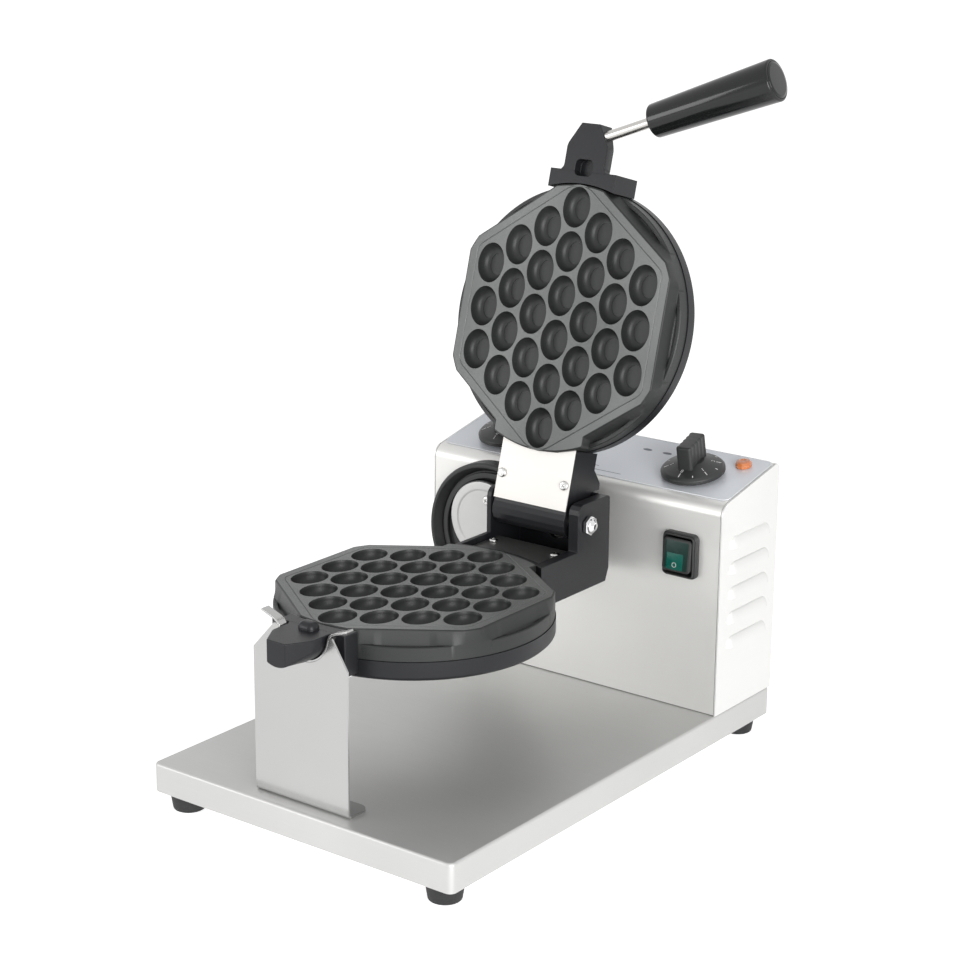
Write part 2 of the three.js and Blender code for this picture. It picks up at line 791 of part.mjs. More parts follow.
function backShell() {
  const outerStep = shellRecessRadius + shellRecessSlope;
  const top = plateThickness + seat;
  return turnedZ([
    [0, shellRecessDepth], [shellRecessRadius, shellRecessDepth], [outerStep, shellDepth],
    [shellRadius - shellChamfer, shellDepth], [shellRadius, shellDepth - shellChamfer], [shellRadius, top],
    [shellRadius - shellSheet, top], [shellRadius - shellSheet, shellDepth - shellChamfer],
    [shellRadius - shellChamfer - shellSheet / 2, shellDepth - shellSheet],
    [outerStep + shellSheet, shellDepth - shellSheet],
    [shellRecessRadius + shellSheet, shellRecessDepth - shellSheet], [0, shellRecessDepth - shellSheet],
  ], discSides);
}

function rimCutter(radius, from, to) {
  return turnedZ(bar(radius, from, to), discSides);
}

// End block with its face toward the other half, its depth along +Z
function endBlock() {
  const half = [
    [blockTipHalfWidth, -blockTip], [blockNeckHalfWidth, -blockShoulder, blockFillet],
    [blockNeckHalfWidth, -blockFlangeFront, blockFillet], [blockFlangeHalfWidth, -blockFlangeFront],
    [blockFlangeHalfWidth, -blockFlangeInner],
  ];
  const mirrored = half.map(([x, y, radius = 0]) => [-x, y, radius]).reverse();
  const plan = prismZ(filleted([...half, ...mirrored]), blockFace, blockFlangeThickness);
  const round = turnedY([
    [0, -blockTip - overrun], [neckTipRadius, -blockTip - overrun], [neckTipRadius, -blockTip],
    [neckRadius, -neckTaperStart], [neckRadius, -blockFlangeInner], [0, -blockFlangeInner],
  ], discSides);
  const flange = block(
    -blockFlangeHalfWidth - overrun, blockFlangeHalfWidth + overrun, -blockFlangeFront, 0, 0,
    blockFlangeThickness + overrun,
  );
  const rim = rimCutter(shellRadius + seat, -overrun, blockFlangeThickness + overrun);
  return cut(common(plan, join(round, flange)), rim);
}

// Both halves of the cooking head share plate, element, shell and cover screws
function addHalf(prefix, parent, flipped) {
  const pose = (geometry) => {
    if (flipped) geometry.rotateY(Math.PI);
    return geometry.translate(0, 0, flipped ? -faceGap : faceGap);
  };
  piece(`${prefix}_cooking_plate`, pose(cookingPlate()), coating, parent);
  piece(`${prefix}_heating_element`, pose(heatingElement()), elementSteel, parent);
  piece(`${prefix}_back_shell`, pose(backShell()), blackPaint, parent);
}

function coverPlate(left, right, end, rimRadius, face, screwReach) {
  const sheet = block(-left, right, 0, end, face, face + coverSheet);
  const rim = rimCutter(rimRadius, face - overrun, face + coverSheet + overrun);
  return cut(sheet, rim, ...coverPins(screwHoleRadius, screwReach, face - overrun, face + coverSheet + overrun));
}

function coverPins(radius, reach, from, to) {
  return [-1, 1].map((side) => turnedZ(bar(radius, from, to), smallSides)
    .translate(side * coverScrewX, reach, 0));
}

// The stop rib's face lies level when the lid stands open, and the yoke's back wall ends just under it
const openTurn = THREE.MathUtils.degToRad(openDegrees);
const stopRibEnd = armBackEnd + stopRibRise / Math.tan(openTurn);
const stopFaceHeight = hingeRise + (hingeReach - armBackEnd) * Math.sin(openTurn)
  + (armBack - hingeRise) * Math.cos(openTurn);
const yokeTop = stopFaceHeight - seat;

function hingeBore(radius, from, to) {
  return turnedX(bar(radius, from, to), roundSides).translate(0, hingeReach, hingeRise);
}

function addUpperArm() {
  const toCorner = new THREE.Vector2(armBackEnd - hingeReach, armBack - hingeRise);
  const tangent = toCorner.angle() - Math.acos(barrelRadius / toCorner.length());
  const touch = [hingeReach + barrelRadius * Math.cos(tangent), hingeRise + barrelRadius * Math.sin(tangent)];
  const side = [[0, armFace], [hingeReach, armFace], touch, [armBackEnd, armBack], [0, armBack]];
  const rib = prismX([
    [armBackEnd, armBack - armWall], [armBackEnd, armBack], [stopRibEnd, armBack + stopRibRise],
    [stopRibShoulder, armBack + stopRibShoulderRise], [stopRibFoot, armBack - armWall],
  ], stopRibInset - armHalfWidth, armHalfWidth);
  const barrel = hingeBore(barrelRadius, -armHalfWidth, armHalfWidth);
  const solid = join(prismX(side, -armHalfWidth, armHalfWidth), barrel, rib);

  const pocketHalf = armHalfWidth - armWall;
  const pocketEnd = hingeReach - barrelRadius - armWall / 2;
  const pocket = block(-pocketHalf, pocketHalf, 0, pocketEnd, armFace - overrun, armBack - armWall);
  const endWall = rimCutter(shellRadius + seat + rimWall, armFace - 2 * overrun, armBack);
  const bosses = coverPins(coverScrewBoss, coverScrewReach, armFace - overrun, armBack - armWall);
  const bores = coverPins(screwHoleRadius, coverScrewReach, armFace - overrun, armFace + screwShankLength);
  const shaftBore = hingeBore(hingeShaftRadius + runningGap, -armHalfWidth - overrun, armHalfWidth + overrun);
  const rim = rimCutter(shellRadius + seat, 0, armBack + stopRibRise + overrun);
  const arm = cut(solid, cut(pocket, endWall, ...bosses), ...bores, shaftBore, rim);
  piece("upper_arm", arm, blackPaint, lid);

  const cover = coverPlate(
    armHalfWidth, armHalfWidth, coverEnd, discRadius + seat, coverFace, coverScrewReach,
  );
  piece("upper_cover_plate", cover, mirrorSteel, lid);
  [-1, 1].forEach((sign, index) => {
    const screw = screwGeometry(screwShankLength).translate(sign * coverScrewX, coverScrewReach, coverFace - seat);
    piece(`upper_cover_screw_${index + 1}`, screw, mirrorSteel, lid);
  });
}

function addYoke() {
  const side = filleted([
    [0, -yokeUnderside], [yokeBack - yokeHeelRun, -yokeUnderside], [yokeBack, yokeHeelRise - yokeUnderside],
    [yokeBack, yokeTop, yokeBackCorner], [yokeCheekFront, yokeTop, yokeCheekCorner],
    [yokeCheekFront, -yokeChannelTop], [0, -yokeChannelTop],
  ]);
  const floor = yokeFloor - yokeUnderside;
  const pocket = block(-yokeLeftInner, yokeRightInner, 0, yokeBack - yokeBackWall, floor, yokeTop + overrun);
  const endWall = rimCutter(shellRadius + seat + rimWall, -yokeUnderside, yokeTop + 2 * overrun);
  const coverUnder = -lowerCoverFace - coverSheet;
  const bosses = coverPins(coverScrewBoss, lowerScrewReach, -yokeUnderside, coverUnder - seat);
  const bores = coverPins(screwHoleRadius, lowerScrewReach, coverUnder - screwShankLength, coverUnder + overrun);
  const cheekBore = hingeBore(hingeShaftRadius + seat, -yokeLeft - overrun, yokeRight + overrun);
  const cableHole = turnedY(bar(shaftBoreRadius, yokeBack - yokeBackWall - overrun, yokeBack + overrun), roundSides);
  const rim = rimCutter(shellRadius + seat, -yokeUnderside - overrun, yokeTop + overrun);
  const channel = cut(pocket, endWall, ...bosses);
  const body = cut(prismX(side, -yokeLeft, yokeRight), channel, ...bores, cheekBore, cableHole, rim);
  piece("yoke", body, blackPaint, head);

  const rimReach = shellRadius + seat + rimWall + seat;
  const cover = coverPlate(
    yokeLeftInner - seat, yokeRightInner - seat, lowerCoverEnd, rimReach, coverUnder, lowerScrewReach,
  );
  piece("lower_cover_plate", cover, mirrorSteel, head);
  [-1, 1].forEach((sign, index) => {
    const screw = screwGeometry(screwShankLength).rotateX(Math.PI);
    screw.translate(sign * coverScrewX, lowerScrewReach, seat - lowerCoverFace);
    piece(`lower_cover_screw_${index + 1}`, screw, mirrorSteel, head);
  });

  piece("hinge_shaft", hingeBore(hingeShaftRadius, -yokeLeft, yokeRight), chrome, head);
  const cap = join(
    turnedX(bar(hingeNutRadius, 0, hingeNutLength), nutSides),
    turnedX(domeProfileShares.map(([radius, rise]) => [
      hingeDomeRadius * radius, hingeNutLength - overrun + (hingeDomeLength + overrun) * rise,
    ]), smallSides),
  );
  const rightCap = cap.clone().translate(yokeRight + seat, hingeReach, hingeRise);
  const leftCap = cap.clone().rotateZ(Math.PI).translate(-yokeLeft - seat, hingeReach, hingeRise);
  piece("hinge_cap_right", rightCap, chrome, head);
  piece("hinge_cap_left", leftCap, chrome, head);
}

function addEndBlocks() {
  const slot = prismZ(
    rectangle(latchSlotHalfWidth, latchSlotHalfLength, latchSlotCorner), blockFace - overrun, latchSlotDepth,
  ).translate(0, -latchReach, 0);
  const rodBore = alongHandle(turnedY(bar(rodRadius + seat, -rodBury - seat, rodReach), roundSides));
  const upper = cut(endBlock(), slot, rodBore).translate(0, 0, faceGap);
  piece("upper_front_block", upper, blackPaint, lid);

  const boss = turnedZ(bar(latchBossRadius, -blockFlangeThickness / 2, latchBossHeight), roundSides)
    .translate(0, -latchReach, 0);
  const lower = join(endBlock().rotateY(Math.PI), boss).translate(0, 0, -faceGap);
  piece("lower_front_block", lower, blackPaint, head);
}

// The handle's own axis starts in the middle of the block's right chamfer
function alongHandle(geometry) {
  geometry.rotateZ(THREE.MathUtils.degToRad(handleDegrees - 180));
  const x = (blockTipHalfWidth + blockNeckHalfWidth) / 2;
  return geometry.translate(x, -(blockTip + blockShoulder) / 2, handleDepth);
}

function addHandle() {
  const rod = turnedY(bar(rodRadius, -rodBury, rodReach + gripBore - overrun), roundSides);
  piece("handle_rod", alongHandle(rod).translate(0, 0, faceGap), chrome, lid);

  const bore = rodRadius + seat;
  const floor = gripLength - capRecess;
  const grip = turnedY([
    [bore, 0], [gripStartRadius - gripRim, 0], [gripStartRadius, gripRim],
    [gripEndRadius, gripLength - gripRim], [gripEndRadius - gripRim, gripLength],
    [capRadius + seat, gripLength], [capRadius + seat, floor], [0, floor], [0, gripBore], [bore, gripBore],
    [bore, 0],
  ], roundSides).translate(0, rodReach, 0);
  piece("handle_grip", alongHandle(grip).translate(0, 0, faceGap), blackPlastic, lid);

  const cap = turnedY([
    [0, 0], [capRadius, 0], [capRadius, capRecess], [capRadius - seat * 2, capThickness], [0, capThickness],
  ], roundSides).translate(0, rodReach + floor + seat, 0);
  piece("handle_end_cap", alongHandle(cap).translate(0, 0, faceGap), blackPlastic, lid);
}

// Turning shaft with its flange on the yoke's back, the bearing in the box front and the collar behind it
function addBearing() {
  const front = yokeBack + seat;
  const shaft = turnedY([
    [shaftBoreRadius, front], [shaftFlangeRadius, front], [shaftFlangeRadius, front + shaftFlangeThickness],
    [shaftRadius, front + shaftFlangeThickness], [shaftRadius, shaftEnd], [shaftBoreRadius, shaftEnd],
    [shaftBoreRadius, front],
  ], roundSides);
  piece("turning_shaft", shaft, steel, head);

  const bore = shaftRadius + runningGap;
  const sleeveEnd = boxFrontReach + bearingSleeveInside;
  const flangeFront = boxFrontReach - seat - bearingFlangeThickness;
  const bearing = turnedY([
    [bore, flangeFront], [bearingFlangeRadius, flangeFront], [bearingFlangeRadius, boxFrontReach - seat],
    [bearingSleeveRadius, boxFrontReach - seat], [bearingSleeveRadius, sleeveEnd], [bore, sleeveEnd],
    [bore, flangeFront],
  ], roundSides).translate(0, headY, partingHeight);
  piece("bearing_flange", bearing, steel, base);

  const collarFront = sleeveEnd + runningGap;
  const collar = turnedY(
    tube(shaftRadius + seat, collarRadius, collarFront, collarFront + collarLength), roundSides,
  );
  piece("shaft_collar", collar, steel, head);
}

// Control box: places on it that several pieces use
const boxFront = headY + boxFrontReach;
const boxBack = trayDepth / 2;
const slopeTurn = Math.atan2(boxBackHeight - boxFrontHeight, boxBack - boxFront);
const slope = new THREE.Group();
slope.position.set(0, boxFront, trayHeight + boxFrontHeight);
slope.rotation.x = slopeTurn;
base.add(slope);
slope.updateMatrix();

function onSlope(geometry) {
  return geometry.applyMatrix4(slope.matrix);
}

function slopeHole(radius, x, along) {
  return turnedZ(bar(radius, -boxBackBend * 2, boxBackBend), smallSides).translate(x, along, 0);
}

function controlHoles() {
  return [
    slopeHole(knobHoleRadius, -knobX, knobAlong), slopeHole(knobHoleRadius, knobX, knobAlong),
    slopeHole(lampHoleRadius, lampX, lampAlong),
  ];
}

function sideOutline() {
  return filleted([
    [boxFront, 0], [boxBack, 0], [boxBack, boxBackHeight, boxBackBend],
    [boxFront, boxFrontHeight, boxFrontBend],
  ]);
}

// Pressed louvre: the upper half of a long dome, open downward
function louvreHalf(bulge, halfHeight, length, floor) {
  const dome = new THREE.CapsuleGeometry(halfHeight, length - 2 * halfHeight, louvreCapSteps, louvreSides);
  dome.scale(bulge / halfHeight, 1, 1);
  const width = bulge + overrun;
  return common(dome, block(-width, width, -length, length, floor, length));
}

function sidePanel() {
  const half = boxWidth / 2;
  const sheet = prismX(sideOutline(), half - boxSheet, half);
  const places = Array.from({ length: louvreCount }, (_, index) => [
    half, boxFront + louvreSetback, louvreLowest + index * louvrePitch,
  ]);
  const outer = louvreHalf(louvreBulge, louvreHalfHeight, louvreLength, 0);
  const inner = louvreHalf(
    louvreBulge - boxSheet, louvreHalfHeight - boxSheet, louvreLength - 2 * boxSheet, -seat,
  );
  const hoods = places.map((place) => outer.clone().translate(...place));
  const mouths = places.map((place) => inner.clone().translate(...place));
  return cut(join(sheet, ...hoods), ...mouths);
}

function addControlBox() {
  const half = boxSheet / 2;
  const rise = half * Math.tan(slopeTurn);
  const drop = half / Math.cos(slopeTurn);
  const path = filleted([
    [boxFront + half, 0], [boxFront + half, boxFrontHeight + rise - drop, boxFrontBend - half],
    [boxBack - half, boxBackHeight - rise - drop, boxBackBend - half], [boxBack - half, 0],
  ], false);
  const reach = boxWidth / 2 - boxSheet;
  const wrap = prismX(sheetSection(path, boxSheet), -reach, reach).translate(0, 0, trayHeight);
  const through = [boxFront - overrun, boxFront + boxSheet + overrun];
  const switchHole = block(
    switchX - switchBodyHalfWidth - seat, switchX + switchBodyHalfWidth + seat, ...through,
    trayHeight + switchHeight - switchBodyHalfHeight - seat, trayHeight + switchHeight + switchBodyHalfHeight + seat,
  );
  const shaftHole = turnedY(bar(bearingSleeveRadius + seat, ...through), roundSides)
    .translate(0, 0, partingHeight);
  const portHole = turnedY(bar(portBoreRadius, ...through), roundSides)
    .translate(portLidX, 0, trayHeight + portLidHeight);
  const glandHole = turnedY(bar(glandStemRadius + seat, boxBack - boxSheet - overrun, boxBack + overrun), roundSides)
    .translate(glandX, 0, trayHeight + glandHeight);
  const holes = controlHoles().map(onSlope);
  piece("housing_wrap", cut(wrap, switchHole, shaftHole, portHole, glandHole, ...holes), mirrorSteel, base);

  const panel = sidePanel().translate(0, 0, trayHeight);
  piece("side_panel_right", panel.clone(), mirrorSteel, base);
  piece("side_panel_left", panel.clone().scale(-1, 1, 1), mirrorSteel, base);

  const label = prismZ(rectangle(labelHalfWidth, labelLength / 2, labelCorner), seat, seat + labelSheet)
    .translate(0, labelStart + labelLength / 2, 0);
  piece("control_label", cut(label, ...controlHoles()), labelFilm, slope);
}

function knobGeometry() {
  const skirt = turnedZ([
    [0, 0], [knobSkirtRadius, 0], [knobSkirtRadius, knobSkirtHeight], [knobShoulderRadius, knobShoulderHeight],
    [knobDomeRadius, knobDomeHeight], [0, knobDomeHeight],
  ], knobSides);
  const grip = softBox(
    2 * knobBarHalfWidth, 2 * knobBarHalfLength, knobBarHeight - knobSkirtHeight, knobBarCorner / 2, knobBarCorner,
  ).translate(0, 0, knobSkirtHeight);
  const ribs = Array.from({ length: knobRibCount }, (_, index) => {
    const y = (index - (knobRibCount - 1) / 2) * knobRibPitch;
    const rib = turnedZ(bar(knobRibRadius, knobSkirtHeight, knobBarHeight - knobBarCorner), ribSides);
    return [-1, 1].map((side) => rib.clone().translate(side * knobBarHalfWidth, y, 0));
  }).flat();
  const shaft = turnedZ(bar(knobShaftRadius, -knobShaftLength, knobSkirtHeight), smallSides);
  return join(skirt, grip, ...ribs, shaft).rotateZ(THREE.MathUtils.degToRad(knobTurnDegrees));
}

function addControls() {
  const labelTop = seat + labelSheet;
  for (const [name, side] of [["timer_knob", -1], ["heat_knob", 1]]) {
    const knob = knobGeometry().translate(side * knobX, knobAlong, labelTop + knobGap);
    piece(name, knob, blackPlastic, slope);
  }

  const under = -boxSheet - seat;
  const bore = bar(knobShaftRadius + runningGap, under - controlBoreDepth, under + overrun);
  const timer = turnedZ(bar(timerRadius, under - timerDepth, under), roundSides);
  const timerBody = cut(timer, turnedZ(bore, smallSides)).translate(-knobX, knobAlong, 0);
  piece("timer_body", timerBody, blackPlastic, slope);
  const halfWidth = thermostatWidth / 2;
  const halfLength = thermostatLength / 2;
  const thermostat = block(-halfWidth, halfWidth, -halfLength, halfLength, under - thermostatDepth, under);
  const thermostatBody = cut(thermostat, turnedZ(bore, smallSides)).translate(knobX, knobAlong, 0);
  piece("thermostat_body", thermostatBody, ceramic, slope);

  const lamp = turnedZ([
    [0, -lampStemLength], [lampStemRadius, -lampStemLength], [lampStemRadius, 0], [lampRadius, 0],
    [lampRadius, lampHeight / 2], [lampRadius * lampTopShare, lampHeight], [0, lampHeight],
  ], lampFacets).translate(lampX, lampAlong, labelTop + seat);
  piece("indicator_lamp", lamp, amberLens, slope);
}

function addSwitch() {
  const front = loft([
    { outline: rectangle(switchHalfWidth, switchHalfHeight, switchCorner), z: seat },
    { outline: rectangle(switchHalfWidth, switchHalfHeight, switchCorner), z: switchProud - switchFrontInset },
    {
      outline: rectangle(
        switchHalfWidth - switchFrontInset, switchHalfHeight - switchFrontInset, switchCorner,
      ),
      z: switchProud,
    },
  ]);
  const body = block(
    -switchBodyHalfWidth, switchBodyHalfWidth, -switchBodyHalfHeight, switchBodyHalfHeight,
    -switchBodyDepth, seat + overrun,
  );
  const cavity = block(
    -windowHalfWidth, windowHalfWidth, -windowHalfHeight, windowHalfHeight,
    -switchCavityDepth, switchProud + overrun,
  );
  const place = [switchX, boxFront, trayHeight + switchHeight];
  const frame = cut(join(front, body), cavity).rotateX(Math.PI / 2).translate(...place);
  piece("switch_frame", frame, blackPlastic, base);

  const rocker = prismX([
    [-rockerReach, rockerHalfHeight], [rockerDip - rockerReach, 0], [-rockerReach, -rockerHalfHeight],
    [rockerBackDepth, -rockerBackHalfHeight], [rockerBackDepth, rockerBackHalfHeight],
  ], -rockerHalfWidth, rockerHalfWidth);
  rocker.rotateX(THREE.MathUtils.degToRad(-rockerDegrees)).translate(0, rockerPivotDepth, 0);
  piece("switch_rocker", rocker.translate(...place), greenLens, base);
}

// Round housing beside the bearing: a rim, a groove, a band and an off-centre plinth that carries the lid
function addPort() {
  const front = boxFront - portDepth;
  const back = portDepth - seat;
  const place = [portX, front, trayHeight + portHeight];
  const lidPlace = [portLidX, front, trayHeight + portLidHeight];
  const body = turnedY([
    [0, portRecessDepth], [portRecessRadius, portRecessDepth], [portRecessRadius, portBandDepth],
    [portBandRadius, portBandDepth], [portBandRadius, portGrooveDepth],
    [portBandRadius + portGrooveWidth, portGrooveDepth], [portRadius - portRimWidth, 0],
    [portRadius - portRimSoft, 0], [portRadius, portRimSoft], [portRadius, back], [0, back],
  ], portSides).translate(...place);
  const lidBack = portLidDrop + portLidSheet;
  const plinth = turnedY(bar(portLidRadius + portPlinthMargin, lidBack + seat, back), portSides);
  const bore = turnedY(bar(portBoreRadius, lidBack, back + overrun), roundSides).translate(...lidPlace);
  const notch = turnedY(bar(bearingFlangeRadius + portNotchGap, front - overrun, boxFront), portSides)
    .translate(0, 0, partingHeight);
  const turn = THREE.MathUtils.degToRad(portScrewTurnDegrees);
  const screwPlaces = [-1, 1].map((side) => [
    portLidX + side * portScrewOffset * Math.sin(turn), front,
    trayHeight + portLidHeight + side * portScrewOffset * Math.cos(turn),
  ]);
  const holes = screwPlaces.map((hole) => turnedY(bar(screwHoleRadius, 0, back - boxSheet), smallSides)
    .translate(...hole));
  const ring = cut(join(body, plinth.translate(...lidPlace)), bore, notch, ...holes);
  piece("port_ring", ring, blackPlastic, base);

  const disc = turnedY(bar(portLidRadius, portLidDrop, lidBack), portSides).translate(...lidPlace);
  piece("port_lid", cut(disc, ...holes), mirrorSteel, base);
  screwPlaces.forEach((hole, index) => {
    const screw = screwGeometry(portDepth / 2).rotateX(-Math.PI / 2);
    screw.translate(0, portLidDrop - seat / 2, 0).translate(...hole);
    piece(`port_screw_${index + 1}`, screw, mirrorSteel, base);
  });
}

function addInnerParts() {
  const cellPitch = terminalWidth / terminalCells;
  const bodyBlock = block(-terminalWidth / 2, terminalWidth / 2, 0, terminalDepth, 0, terminalHeight);
  const grooves = Array.from({ length: terminalCells - 1 }, (_, index) => {
    const x = (index + 1) * cellPitch - terminalWidth / 2;
    return block(
      x - terminalGroove / 2, x + terminalGroove / 2, -overrun, terminalDepth + overrun,
      terminalHeight - terminalGrooveDepth, terminalHeight + overrun,
    );
  });
  const step = block(
    -terminalWidth, terminalWidth, -overrun, terminalPlinth * 2, terminalHeight - terminalGrooveDepth,
    terminalHeight + overrun,
  );
  const terminal = cut(bodyBlock, step, ...grooves).translate(0, boxFront + terminalSetback, trayHeight);
  piece("terminal_block", terminal, ceramic, base);

  const nut = turnedY(bar(glandNutRadius, 0, glandNutLength), nutSides);
  const dome = turnedY([
    [0, 0], [glandDomeRadius, 0], [glandDomeRadius, glandNutLength + glandDomeLength / 2],
    [glandMouthRadius, glandNutLength + glandDomeLength], [0, glandNutLength + glandDomeLength],
  ], roundSides);
  const stem = turnedY(bar(glandStemRadius, -glandStemLength, overrun), roundSides);
  const bore = turnedY(
    bar(glandBoreRadius, -glandStemLength - overrun, glandNutLength + glandDomeLength + overrun), smallSides,
  );
  const gland = cut(join(nut, dome, stem), bore);
  piece("cord_gland", gland.translate(glandX, boxBack + seat, trayHeight + glandHeight), blackPlastic, base);
}

addTray();
addStand();
addHalf("lower", head, true);
addHalf("upper", lid, false);
addYoke();
addUpperArm();
addEndBlocks();
addHandle();
addBearing();
addControlBox();
addControls();
addSwitch();
addPort();
addInnerParts();
machine.updateMatrixWorld(true);

export default machine;
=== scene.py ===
"""Looks of the bubble waffle maker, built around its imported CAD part.

The scene is in metres, +Z up, with the front towards -Y. Sizes are written in millimetres and degrees,
and each shape is scaled as it is placed.
"""

import math

import bmesh
import bpy
from mathutils import Euler, Matrix, Vector
from mathutils.geometry import delaunay_2d_cdt


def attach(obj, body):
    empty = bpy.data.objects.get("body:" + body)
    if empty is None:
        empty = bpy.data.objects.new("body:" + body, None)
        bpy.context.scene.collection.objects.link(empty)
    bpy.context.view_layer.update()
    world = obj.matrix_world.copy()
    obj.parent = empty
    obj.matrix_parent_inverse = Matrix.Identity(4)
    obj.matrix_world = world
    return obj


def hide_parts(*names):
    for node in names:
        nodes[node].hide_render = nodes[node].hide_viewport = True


MM = 0.001
TINY = 1e-6
FULL_TURN = 2 * math.pi
PHOTO_SIZE = 960

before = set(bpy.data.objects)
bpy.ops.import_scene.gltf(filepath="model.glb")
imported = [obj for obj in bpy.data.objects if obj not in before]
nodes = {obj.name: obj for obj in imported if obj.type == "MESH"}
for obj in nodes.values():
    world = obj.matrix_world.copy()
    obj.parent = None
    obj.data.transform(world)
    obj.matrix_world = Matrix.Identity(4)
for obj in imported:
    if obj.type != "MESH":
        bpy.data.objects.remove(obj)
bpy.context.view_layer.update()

# Sizes and places of the CAD part
HEAD_Y = -71.65
PARTING_Z = 148.3
FACE_GAP = 0.2
HINGE_REACH, HINGE_RISE = 146.7, 17.2
OPEN_DEGREES = 105.3
SLOPE_DEGREES = 12.31
BOX_FRONT, BOX_BACK, BOX_HALF = 119.85, 200.5, 134.2
BOX_FRONT_TOP, BOX_BACK_TOP = 184.6, 202.2
FRONT_BEND, BACK_BEND = 10, 4
TRAY_HALF_X, TRAY_HALF_Y, TRAY_TOP = 134.5, 200.5, 21.4
SHEET, THICK_SHEET = 1.2, 1.5


# Frames, from an assembly's millimetres to the scene's metres
def moved(x, y, z):
    return Matrix.Translation((x, y, z))


def turned(degrees, axis):
    return Matrix.Rotation(math.radians(degrees), 4, axis)


def sine(degrees):
    return math.sin(math.radians(degrees))


def cosine(degrees):
    return math.cos(math.radians(degrees))


STAY = Matrix.Identity(4)
TO_X = turned(90, "Y")
TO_Y = turned(-90, "X")
OUTWARD = turned(90, "X")
SIDEWAYS = Matrix(((0, 0, 1, 0), (1, 0, 0, 0), (0, 1, 0, 0), (0, 0, 0, 1)))
WORLD = Matrix.Scale(MM, 4)
LOWER = WORLD @ moved(0, HEAD_Y, PARTING_Z)
HINGE = LOWER @ moved(0, HINGE_REACH, HINGE_RISE)
UPPER = HINGE @ turned(-OPEN_DEGREES, "X") @ moved(0, -HINGE_REACH, -HINGE_RISE)
SLOPE = WORLD @ moved(0, BOX_FRONT, BOX_FRONT_TOP) @ turned(SLOPE_DEGREES, "X")
HALVES = (
    ("lower", LOWER @ moved(0, 0, -FACE_GAP), "head"),
    ("upper", UPPER @ moved(0, 0, FACE_GAP) @ turned(180, "Y"), "lid"),
)


# Materials
NOISE_LOW, NOISE_HIGH = 0.3, 0.7
BROAD_SIZE, BROAD_DETAIL = 9, 2
COAT_ROUGHNESS = 0.15
EVEN = (1, 1, 1)
ALONG_X = (0.03, 1, 1)
ALONG_Y = (1, 0.03, 1)


def new_material(name):
    material = bpy.data.materials.new(name)
    material.use_nodes = True
    tree = material.node_tree
    return material, tree, tree.nodes["Principled BSDF"]


def noise(tree, scale, size, detail=4):
    source = tree.nodes.new("ShaderNodeTexCoord")
    mapping = tree.nodes.new("ShaderNodeMapping")
    mapping.inputs["Scale"].default_value = scale
    tree.links.new(source.outputs["Object"], mapping.inputs["Vector"])
    texture = tree.nodes.new("ShaderNodeTexNoise")
    texture.inputs["Scale"].default_value = size
    texture.inputs["Detail"].default_value = detail
    tree.links.new(mapping.outputs["Vector"], texture.inputs["Vector"])
    return texture.outputs["Fac"]


def ranged(tree, value, low, high, start=NOISE_LOW, end=NOISE_HIGH):
    node = tree.nodes.new("ShaderNodeMapRange")
    node.inputs["From Min"].default_value = start
    node.inputs["From Max"].default_value = end
    node.inputs["To Min"].default_value = low
    node.inputs["To Max"].default_value = high
    tree.links.new(value, node.inputs["Value"])
    return node.outputs["Result"]


def tinted(tree, value, dark, light):
    mix = tree.nodes.new("ShaderNodeMix")
    mix.data_type = "RGBA"
    mix.inputs["A"].default_value = (*dark, 1)
    mix.inputs["B"].default_value = (*light, 1)
    tree.links.new(value, mix.inputs["Factor"])
    return mix.outputs["Result"]


def grained(name, dark, light, metallic, rough, size, bump, grain=EVEN, depth=0.1, specular=0.5, coat=0.0):
    """A finish whose tone, gloss and relief vary with noise; grain stretches the fine noise along an axis."""
    material, tree, shader = new_material(name)
    fine = noise(tree, grain, size)
    broad = noise(tree, EVEN, BROAD_SIZE, BROAD_DETAIL)
    tree.links.new(tinted(tree, ranged(tree, broad, 0, 1), dark, light), shader.inputs["Base Color"])
    tree.links.new(ranged(tree, fine, *rough), shader.inputs["Roughness"])
    shader.inputs["Metallic"].default_value = metallic
    shader.inputs["Specular IOR Level"].default_value = specular
    shader.inputs["Coat Weight"].default_value = coat
    shader.inputs["Coat Roughness"].default_value = COAT_ROUGHNESS
    relief = tree.nodes.new("ShaderNodeBump")
    relief.inputs["Strength"].default_value = bump
    relief.inputs["Distance"].default_value = depth * MM
    tree.links.new(fine, relief.inputs["Height"])
    tree.links.new(relief.outputs["Normal"], shader.inputs["Normal"])
    return material


